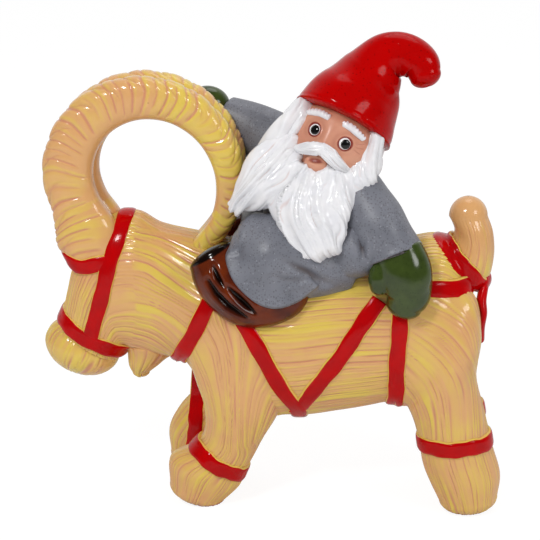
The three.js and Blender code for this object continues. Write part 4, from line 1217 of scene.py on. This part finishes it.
def faceRelief(p):
    h = headFrame(p)
    flat, front = h[:, [0, 2]], ease(0, -6, h[:, 1])
    height, depth = np.zeros(len(p)), np.zeros(len(p))
    socketDepth, socketWidth = faceShape["socket"]
    lidHeight, lidRadius, lidWidth = faceShape["lid"]
    for eye in faceShape["eyes"]:
        r = np.linalg.norm(flat - eye, axis=1)
        height -= socketDepth * bell(r, socketWidth)
        height += lidHeight * bell(r - lidRadius, lidWidth)
        depth = np.maximum(depth, 0.85 * (1 - ease(2.95, 3.6, r)))
        # painted shade: a faint red-brown ring round each eye socket, under the brow
        depth = np.maximum(depth, 0.22 * bell(r - 4.6, 1.2))
    distance, t = fromLine(flat, faceShape["nose"])
    height += (0.4 + 1.3 * t) * bell(distance, 3.7)
    # painted shade: a faint band on each side of the nose, stronger towards its tip
    depth = np.maximum(depth, 0.12 * bell(distance - 4.4, 1.5) * t)
    for cheek in faceShape["cheeks"]:
        height += 1.0 * bell(np.linalg.norm(flat - cheek, axis=1), 4.5)
    for wrinkle in faceShape["wrinkles"]:
        line = bell(fromLine(flat, wrinkle)[0], 0.3)
        height -= 0.25 * line
        depth = np.maximum(depth, 0.4 * line)
    lit = bell(flat[:, 1] - 9, 4)
    return height * front, depth * front, 0.6 * lit * front


skinPiece("face", skinGlaze, ballPoints(riderHead, headPose.translation, headPose)[0], relief=faceRelief)

# White hair in locks: guide lines of the side view from the outer left edge to the right one, and how many
# strands lie before each
hairGuides = [
    [(15, 195), (13.1, 190.8), (9.5, 185.2), (5.8, 176.4), (0.9, 171.3), (-6.5, 165.5), (-11.6, 155.2),
     (-16.3, 147.4), (-17.5, 141)],
    [(18, 193), (15.6, 186.5), (12.6, 180.2), (8.9, 173.9), (2.7, 167.5), (-3.5, 161.7), (-9.1, 154.6),
     (-14.1, 147.5), (-16.6, 140)],
    [(17, 182), (12.3, 174), (5.8, 165.1), (-1, 158.6), (-7.2, 152.1), (-12.3, 146.2), (-15.8, 139.5)],
    [(17, 174), (13.2, 169.6), (9.5, 165.1), (2.7, 158.7), (-3.5, 153.5), (-7.9, 148.3), (-12, 141.5)],
    [(19, 170), (16.3, 167.2), (10.8, 161.4), (4.6, 155.5), (-0.4, 151), (-6, 146), (-9, 141)],
    [(19.5, 168), (17.3, 165.3), (13.3, 158.9), (8.3, 153.8), (3.5, 149), (0, 143)],
    [(20, 167), (16.4, 163.5), (12, 158), (7.6, 152.5), (5.4, 146.5), (7.3, 138.7), (11.6, 131.8), (16, 127)],
    [(20.5, 167), (17.6, 163.5), (13.8, 158), (10.8, 151.5), (10, 144.6), (12.2, 136.9), (16.6, 129.3),
     (19.5, 125.5)],
    [(21, 167), (19.4, 164.1), (16.4, 157.8), (14, 150.9), (14.7, 143.3), (17.8, 135.7), (21.5, 128.8),
     (25.3, 124)],
    [(22, 167), (21.2, 163.5), (19.5, 157.3), (18.9, 149.7), (20.2, 142.2), (23.3, 134.6), (27.7, 127.7),
     (30, 124.5)],
    [(24, 167), (23.7, 163.6), (23.1, 156.7), (23.2, 149.8), (25.1, 142.3), (28.2, 134.7), (31.4, 128.4),
     (33, 125.5)],
    [(26, 167), (26.1, 163.6), (26.2, 157.4), (26.8, 150.5), (28.8, 143), (31.9, 136.1), (34.4, 131),
     (35.5, 128)],
    [(28.5, 167), (29.1, 163.7), (30.4, 157.5), (31.7, 151.2), (33, 145), (34.9, 139.3), (36, 133),
     (36.5, 129.5)],
    [(31.5, 166), (32.2, 162.5), (34.7, 156.9), (36.6, 151.3), (37.3, 145.7), (37, 140), (37.2, 132)],
    [(34.5, 167), (35.8, 162.6), (38.9, 157.6), (40.8, 152.7), (40.3, 147.6), (38.8, 142.5), (38, 134)],
    [(37.5, 169), (38.8, 163.9), (42.5, 159), (43.4, 154), (42, 148.9), (40, 143.2), (39, 136)],
]
hairStrands = np.cumsum([0, 1.6, 1.6, 1.6, 1.2, 1.1, 1.0, 1.4, 1.4, 1.4, 1.4, 1.2, 1.4, 1.4, 1.3, 1.2])
lockGuides = [
    [(39, 186), (41.5, 179), (42.2, 172), (41.2, 166), (41.2, 160), (43.5, 154)],
    [(43, 183), (44.6, 175), (43.4, 169), (42.9, 162.7), (45, 156.4), (47, 152)],
    [(46, 183), (47.2, 175), (46.2, 168), (46, 161.5), (47.6, 156)],
    [(50, 182), (51, 174), (50.2, 166), (49.6, 159), (50, 154)],
]
sweepField = guideField(hairGuides, hairStrands)
lockField = guideField(lockGuides, np.array([0, 1.3, 2.3, 3.6]))
hairStyle = {"strands": 40, "wander": 0.22, "lengths": (25, 70), "strokes": (14, 50), "sharp": 0.15,
             "depth": 0.85,
             "seed": 41}
behindStyle = {"strands": 44, "wander": 0.4, "lengths": (40, 90), "strokes": (20, 60), "sharp": 0.15,
               "depth": 0.7,
               "seed": 45}


def hairRelief(p, field, style):
    value, along = field(p[:, 0], p[:, 2])
    height, groove, tone = strandLines(60 * along, (value + 6) * turnRound / style["strands"], style)
    wave = turnRound * value
    bulk = 0.55 * np.cos(wave / 2.9 + 2.2 * along) + 0.35 * np.cos(wave / 1.9 - 3 * along)
    return height + bulk, groove, tone


# The face's bare window in the head's frame: left and right edge by height, lower edge from left to right
faceWindow = {
    "left": [(-30, -14.8), (-8, -14.6), (0, -14.6), (4, -14.6), (8, -16.4), (16, -19)],
    "right": [(-30, 15), (-6, 14.6), (1, 15.1), (6.5, 14.2), (9.5, 13.7), (16, 13.2)],
    "lower": [(-15, -8.6), (-9, -8.8), (-5.8, -9.2), (-4.6, -11.2), (-2.8, -12.4), (0.6, -12.9), (2.8, -11.4),
              (4.6, -8.6), (5.6, -7.4),
              (9, -7.6), (12, -7.2), (15.2, -5.4)],
    "deep": 16.5,
}


# draws the hair and beard back into the face's ball, so that the window stays bare
def openWindow(bm):
    places = placesOf(bm)
    h = headFrame(places)
    inside = np.minimum(h[:, 0] - np.interp(h[:, 2], *zip(*faceWindow["left"])),
                        np.interp(h[:, 2], *zip(*faceWindow["right"])) - h[:, 0])
    inside = np.minimum(inside, h[:, 2] - np.interp(h[:, 0], *zip(*faceWindow["lower"])))
    share = (ease(-0.5, 0.8, inside) * (h[:, 1] < 0))[:, None]
    middle = np.array(headPose.translation)
    deep = middle + unit(places - middle) * faceWindow["deep"]
    for v, place, s in zip(bm.verts, (places * (1 - share) + deep * share + originShift) * mm, share):
        if s > 0:
            v.co = place


def hairLines(p):
    h = headFrame(p)
    isLock = ease(36, 39, p[:, 0])
    front = ease(6, -3, h[:, 1])
    swept = hairRelief(p, sweepField, hairStyle)
    lock = hairRelief(p, lockField, dict(hairStyle, seed=44))
    behind = strandLines(h[:, 2] + 30, np.arctan2(h[:, 1] - 5, h[:, 0]), behindStyle)
    calm = 1 - ease(15, 20, h[:, 2])
    return [(b + ((s + (k - s) * isLock) - b) * front) * calm for s, k, b in zip(swept, lock, behind)]


def beardLines(p):
    return hairRelief(p, sweepField, hairStyle)


hairShape = {
    "middle": (0, 5, -1), "radii": (21.5, 18.5, 23.5), "rings": 90, "sides": 160,
    "locks": [
        [[-15.8, -8, 15, 3], [-17.3, -9, 8, 4.4], [-19, -10.5, 0, 5.6], [-20.5, -11.5, -8, 6.4],
         [-22, -11, -16, 6]],
        [[16.2, -7, 12.5, 3.6], [17.6, -7, 6, 4.6], [19.2, -7.5, -2, 6], [17.6, -9.5, -9, 6.6],
         [15.6, -10.5, -16.5, 5]],
    ],
    "voxel": 0.5, "melting": 4,
}
groups = [ballPoints(hairShape, inHead(*hairShape["middle"]), headPose)[0]]
for lock in hairShape["locks"]:
    stops = [[*inHead(x, y, z), r, r * 1.1] for x, y, z, r in lock]
    groups.append(limbPoints(stops, (1, 2), 70, 0.6, base=0)[0])
meltedPiece("hair", whiteGlaze, groups, hairShape, hairLines, opened=True)

beardShape = {
    "forms": [  # the main fall, its sweep to the left, and a roll round the chin
        ([[19, -20, 39.5, 9, 23.5], [20.5, -23.5, 27, 10, 21.5], [22, -30, 16, 9.5, 16],
          [25.5, -34, 5.5, 7.5, 10]],
         (2, 5), 120),
        ([[12, -16, 49, 7, 7], [3.5, -19.5, 38.5, 8.5, 12], [-3, -21, 29.5, 8, 11],
          [-14.3, -20, 19.8, 4.6, 4]],
         (3, 2.5), 90),
        (stopsOnFace([(-14.2, -10.5, 0.5, 4.2), (-8.5, -13.3, 1.5, 4.4), (-0.5, -16.2, 2.2, 4.2),
                      (6, -12.8, 2, 4.2), (11.5, -10.4, 1.5, 3.9), (15.8, -4.5, 0.5, 3.2)]), (2, 2), 60, 0.6,
                      0),
    ],
    "voxel": 0.5, "melting": 6,
}
meltedPiece("beard", whiteGlaze, formsOf(beardShape), beardShape, beardLines, opened=True)

moustacheShape = {
    # each wing in the head's frame: x, z, lift, radius in depth and in height
    "wings": [
        [(0.6, -1.5, 1.6, 2.4, 3.0), (-3.8, -2.9, 1.9, 2.5, 3.2), (-8, -5.4, 1.7, 2.1, 2.5),
         (-11.2, -7.3, 1.2, 1.6, 1.6), (-13.6, -8.7, 0.8, 0.9, 0.7)],
        [(-1.0, -1.3, 1.6, 2.4, 2.9), (3.6, -2.1, 1.9, 2.5, 3.3), (7.4, -4.1, 1.7, 2.2, 2.9),
         (11, -5.6, 1.2, 1.7, 1.9), (14.2, -6.4, 0.8, 0.9, 0.7)],
    ],
    "guides": [
        [[(2, 1.5), (-3.1, 1.3), (-6.9, -1.6), (-10.8, -5.2), (-14.2, -8.4)],
         [(1.5, -1), (-4, -2.2), (-8, -5.2), (-11, -7.2), (-14.2, -8.8)],
         [(1, -4.2), (-4, -6.2), (-9.3, -8.7), (-14, -9.4)]],
        [[(-3, 1.2), (3.7, 1.6), (7.5, -0.9), (10.8, -3), (15, -6)],
         [(-2.5, -1.2), (3.6, -1.8), (8, -4), (11.5, -5.6), (15, -6.5)],
         [(-2, -4.2), (4.1, -5.8), (8, -7.6), (12.1, -7.5), (15, -7)]],
    ],
    "style": dict(hairStyle, strands=10, depth=0.5, wander=0.1, strokes=(8, 20)), "seeds": (51, 52),
    "meeting": -0.2, "voxel": 0.22, "melting": 5,
}
wingFields = [guideField(guides, np.array([0, 1.6, 3.2])) for guides in moustacheShape["guides"]]


def moustacheLines(p):
    h = headFrame(p)
    style, wings = moustacheShape["style"], []
    for field, seed in zip(wingFields, moustacheShape["seeds"]):
        value, along = field(h[:, 0], h[:, 2])
        wings.append(strandLines(20 * along, (value + 2) * turnRound / style["strands"],
                                 dict(style, seed=seed)))
    share = ease(-0.7, 0.3, h[:, 0])
    fromMiddle = h[:, 0] - moustacheShape["meeting"]
    parting = bell(fromMiddle, 0.7) * ease(1, -3, h[:, 2])
    height, groove, tone = (a + (b - a) * share for a, b in zip(*wings))
    calm = 1 - bell(fromMiddle, 1.4)
    return height * calm - 0.5 * parting, groove * calm, tone * calm


groups = [limbPoints(stopsOnFace(wing), (1, 0.8), 50, 0.4, base=0)[0] for wing in moustacheShape["wings"]]
meltedPiece("moustache", whiteGlaze, groups, moustacheShape, moustacheLines)

lipShape = {"place": (-0.5, -8.6, 0.9), "radii": (5.1, 3.0, 3.9), "tilt": -14, "rings": 90, "sides": 140,
            "mouth": (-0.9, -7.3), "mouthRadii": (3.9, 1.5), "mouthDepth": 1.3, "mouthSlant": 0.25}


def mouthRelief(p):
    h = headFrame(p)
    x, z = h[:, 0] - lipShape["mouth"][0], h[:, 2] - lipShape["mouth"][1]
    z = z - lipShape["mouthSlant"] * x
    open = 1 - ease(0.5, 1.25, np.hypot(x / lipShape["mouthRadii"][0], z / lipShape["mouthRadii"][1]))
    return -lipShape["mouthDepth"] * open, 0.75 * open, 0.0


lipPose = headPose @ Matrix.Rotation(math.radians(lipShape["tilt"]), 4, "Y")
lip = ballPoints(lipShape, inHead(*onFace(*lipShape["place"])), lipPose)[0]
skinPiece("lower_lip", skinGlaze, lip, relief=mouthRelief)

# both kinds of dots on the face, "places" in its x and z
eyeShape = {"places": faceShape["eyes"], "lift": -0.7, "radii": (2.6, 1.3, 2.6), "rings": 60, "sides": 90}
pupilShape = {"places": [(-7.1, 3.9), (7.5, 4.2)], "lift": 0.15, "radii": (2.1, 0.75, 2.1), "rings": 50,
              "sides": 80}
browShape = {
    # x and z in the head's frame, lift, radius in depth and in height
    "stops": [
        [(-13.4, 8.0, 0.6, 1.0, 1.2), (-11, 9.4, 0.6, 1.3, 1.5), (-8.3, 10.4, 0.6, 1.4, 1.5),
         (-4.3, 10.7, 0.6, 1.2, 1.4)],
        [(3.0, 11.2, 0.6, 1.2, 1.4), (6, 11.0, 0.6, 1.4, 1.6), (9, 10, 0.6, 1.3, 1.5),
         (12.3, 8.6, 0.6, 1.0, 1.2)],
    ],
    "domes": (0.8, 0.8), "sides": 90, "spacing": 0.18, "strokeHeight": 0.55, "strokeLength": 1.7,
    "strokeFloor": 0.2,
}
for i, side in enumerate(("right", "left")):
    for name, glaze, shape in (("_eye", eyeGlaze, eyeShape), ("_pupil", pupilGlaze, pupilShape)):
        place = shape["places"][i]
        dot = ballPoints(shape, inHead(*onFace(*place, shape["lift"])), facing(*place))[0]
        skinPiece(side + name, glaze, dot)
    stops = stopsOnFace(browShape["stops"][i])
    points, run, angle = limbPoints(stops, browShape["domes"], browShape["sides"], browShape["spacing"], 0)
    # short brush strokes along the upper edge
    strokes = browShape["strokeHeight"] * np.abs(np.sin(math.pi * run / browShape["strokeLength"]))
    strokes = np.clip(np.sin(angle), 0, 1) * (strokes - browShape["strokeFloor"])
    skinPiece(side + "_eyebrow", whiteGlaze, raised(points, strokes), 0.3 * (strokes < -0.1))
print("stage rider")

# Camera, floor and light
view = {"azimuth": 4.5, "elevation": 17.0, "distance": 704.0, "aim": (-0.925, 0.041, 108.0), "focal": 1531.0,
        "photoWidth": 540, "sensor": 36, "nearest": 0.01}
a, e = math.radians(view["azimuth"]), math.radians(view["elevation"])
towards = Vector((math.sin(a) * math.cos(e), -math.cos(a) * math.cos(e), math.sin(e)))
camera = newObject("camera", bpy.data.cameras.new("camera"))
camera.data.sensor_width = view["sensor"]
camera.data.lens = view["sensor"] * view["focal"] / view["photoWidth"]
camera.location = (Vector(view["aim"]) + towards * view["distance"]) * mm
camera.rotation_euler = (-towards).to_track_quat("-Z", "Y").to_euler()
camera.data.clip_start = view["nearest"]
bpy.context.scene.camera = camera

sweep = {"halfSize": 2.5, "paper": "f0f0f0", "roughness": 0.9, "glow": 1.13, "glowShare": 0.8}  # metres
bm = bmesh.new()
bmesh.ops.create_grid(bm, x_segments=2, y_segments=2, size=sweep["halfSize"])
floorMesh = bpy.data.meshes.new("floor")
bm.to_mesh(floorMesh)
bm.free()
floor = newObject("floor", floorMesh)

paper = bpy.data.materials.new("white paper sweep")
paper.use_nodes = True
tree = paper.node_tree
shader = tree.nodes["Principled BSDF"]
shader.inputs["Base Color"].default_value = hexColour(sweep["paper"])
shader.inputs["Roughness"].default_value = sweep["roughness"]
seen = addNode(tree, "LightPath", output="Is Camera Ray")
glow = addNode(tree, "Emission", {"Color": "ffffff", "Strength": sweep["glow"]})
share = addNode(tree, "Math", {0: seen, 1: sweep["glowShare"]}, operation="MULTIPLY")
both = addNode(tree, "MixShader", {0: share, 1: shader.outputs[0], 2: glow})
tree.links.new(both, tree.nodes["Material Output"].inputs["Surface"])
floorMesh.materials.append(paper)

# The room: white to the camera, grey as a light, and in the gloss pale behind the figurine, dim before it
room = {"behind": 0.95, "front": 0.07, "edge": (-0.1, 0.75), "light": 0.51, "backdrop": 1.0}
world = bpy.data.worlds.new("white studio")
bpy.context.scene.world = world
world.use_nodes = True
tree = world.node_tree
backdrop = tree.nodes["Background"]
backdrop.inputs["Color"].default_value = hexColour("ffffff")
way = addNode(tree, "SeparateXYZ", {"Vector": addNode(tree, "TexCoord", output="Generated")}, "Y")
low, high = room["edge"]
glossy = addNode(tree, "MapRange", {"Value": way, "From Min": low, "From Max": high, "To Min": room["front"],
                                    "To Max": room["behind"]}, interpolation_type="SMOOTHSTEP")
glossRay, seen = (addNode(tree, "LightPath", output=name) for name in ("Is Glossy Ray", "Is Camera Ray"))
strength = addNode(tree, "Mix", {"Factor": glossRay, "A": room["light"], "B": glossy})
strength = addNode(tree, "Mix", {"Factor": seen, "A": strength, "B": room["backdrop"]})
tree.links.new(strength, backdrop.inputs["Strength"])

lamps = [  # place and diameter in metres, power in watts
    ("key", (-0.35, -0.75, 0.85), 0.16, 4.4), ("fill", (0.75, -0.6, 0.6), 0.35, 2.2),
    ("top", (0.1, 0.3, 1.0), 0.5, 1.2),
]
lampAim = Vector((0, 0, 0.1))
for name, place, size, power in lamps:
    lamp = newObject(name, bpy.data.lights.new(name, "AREA"))
    lamp.data.shape = "DISK"
    lamp.data.size = size
    lamp.data.energy = power
    lamp.location = place
    lamp.rotation_euler = (lampAim - lamp.location).to_track_quat("-Z", "Y").to_euler()

bpy.context.scene.view_settings.view_transform = "Standard"
print("stage light")
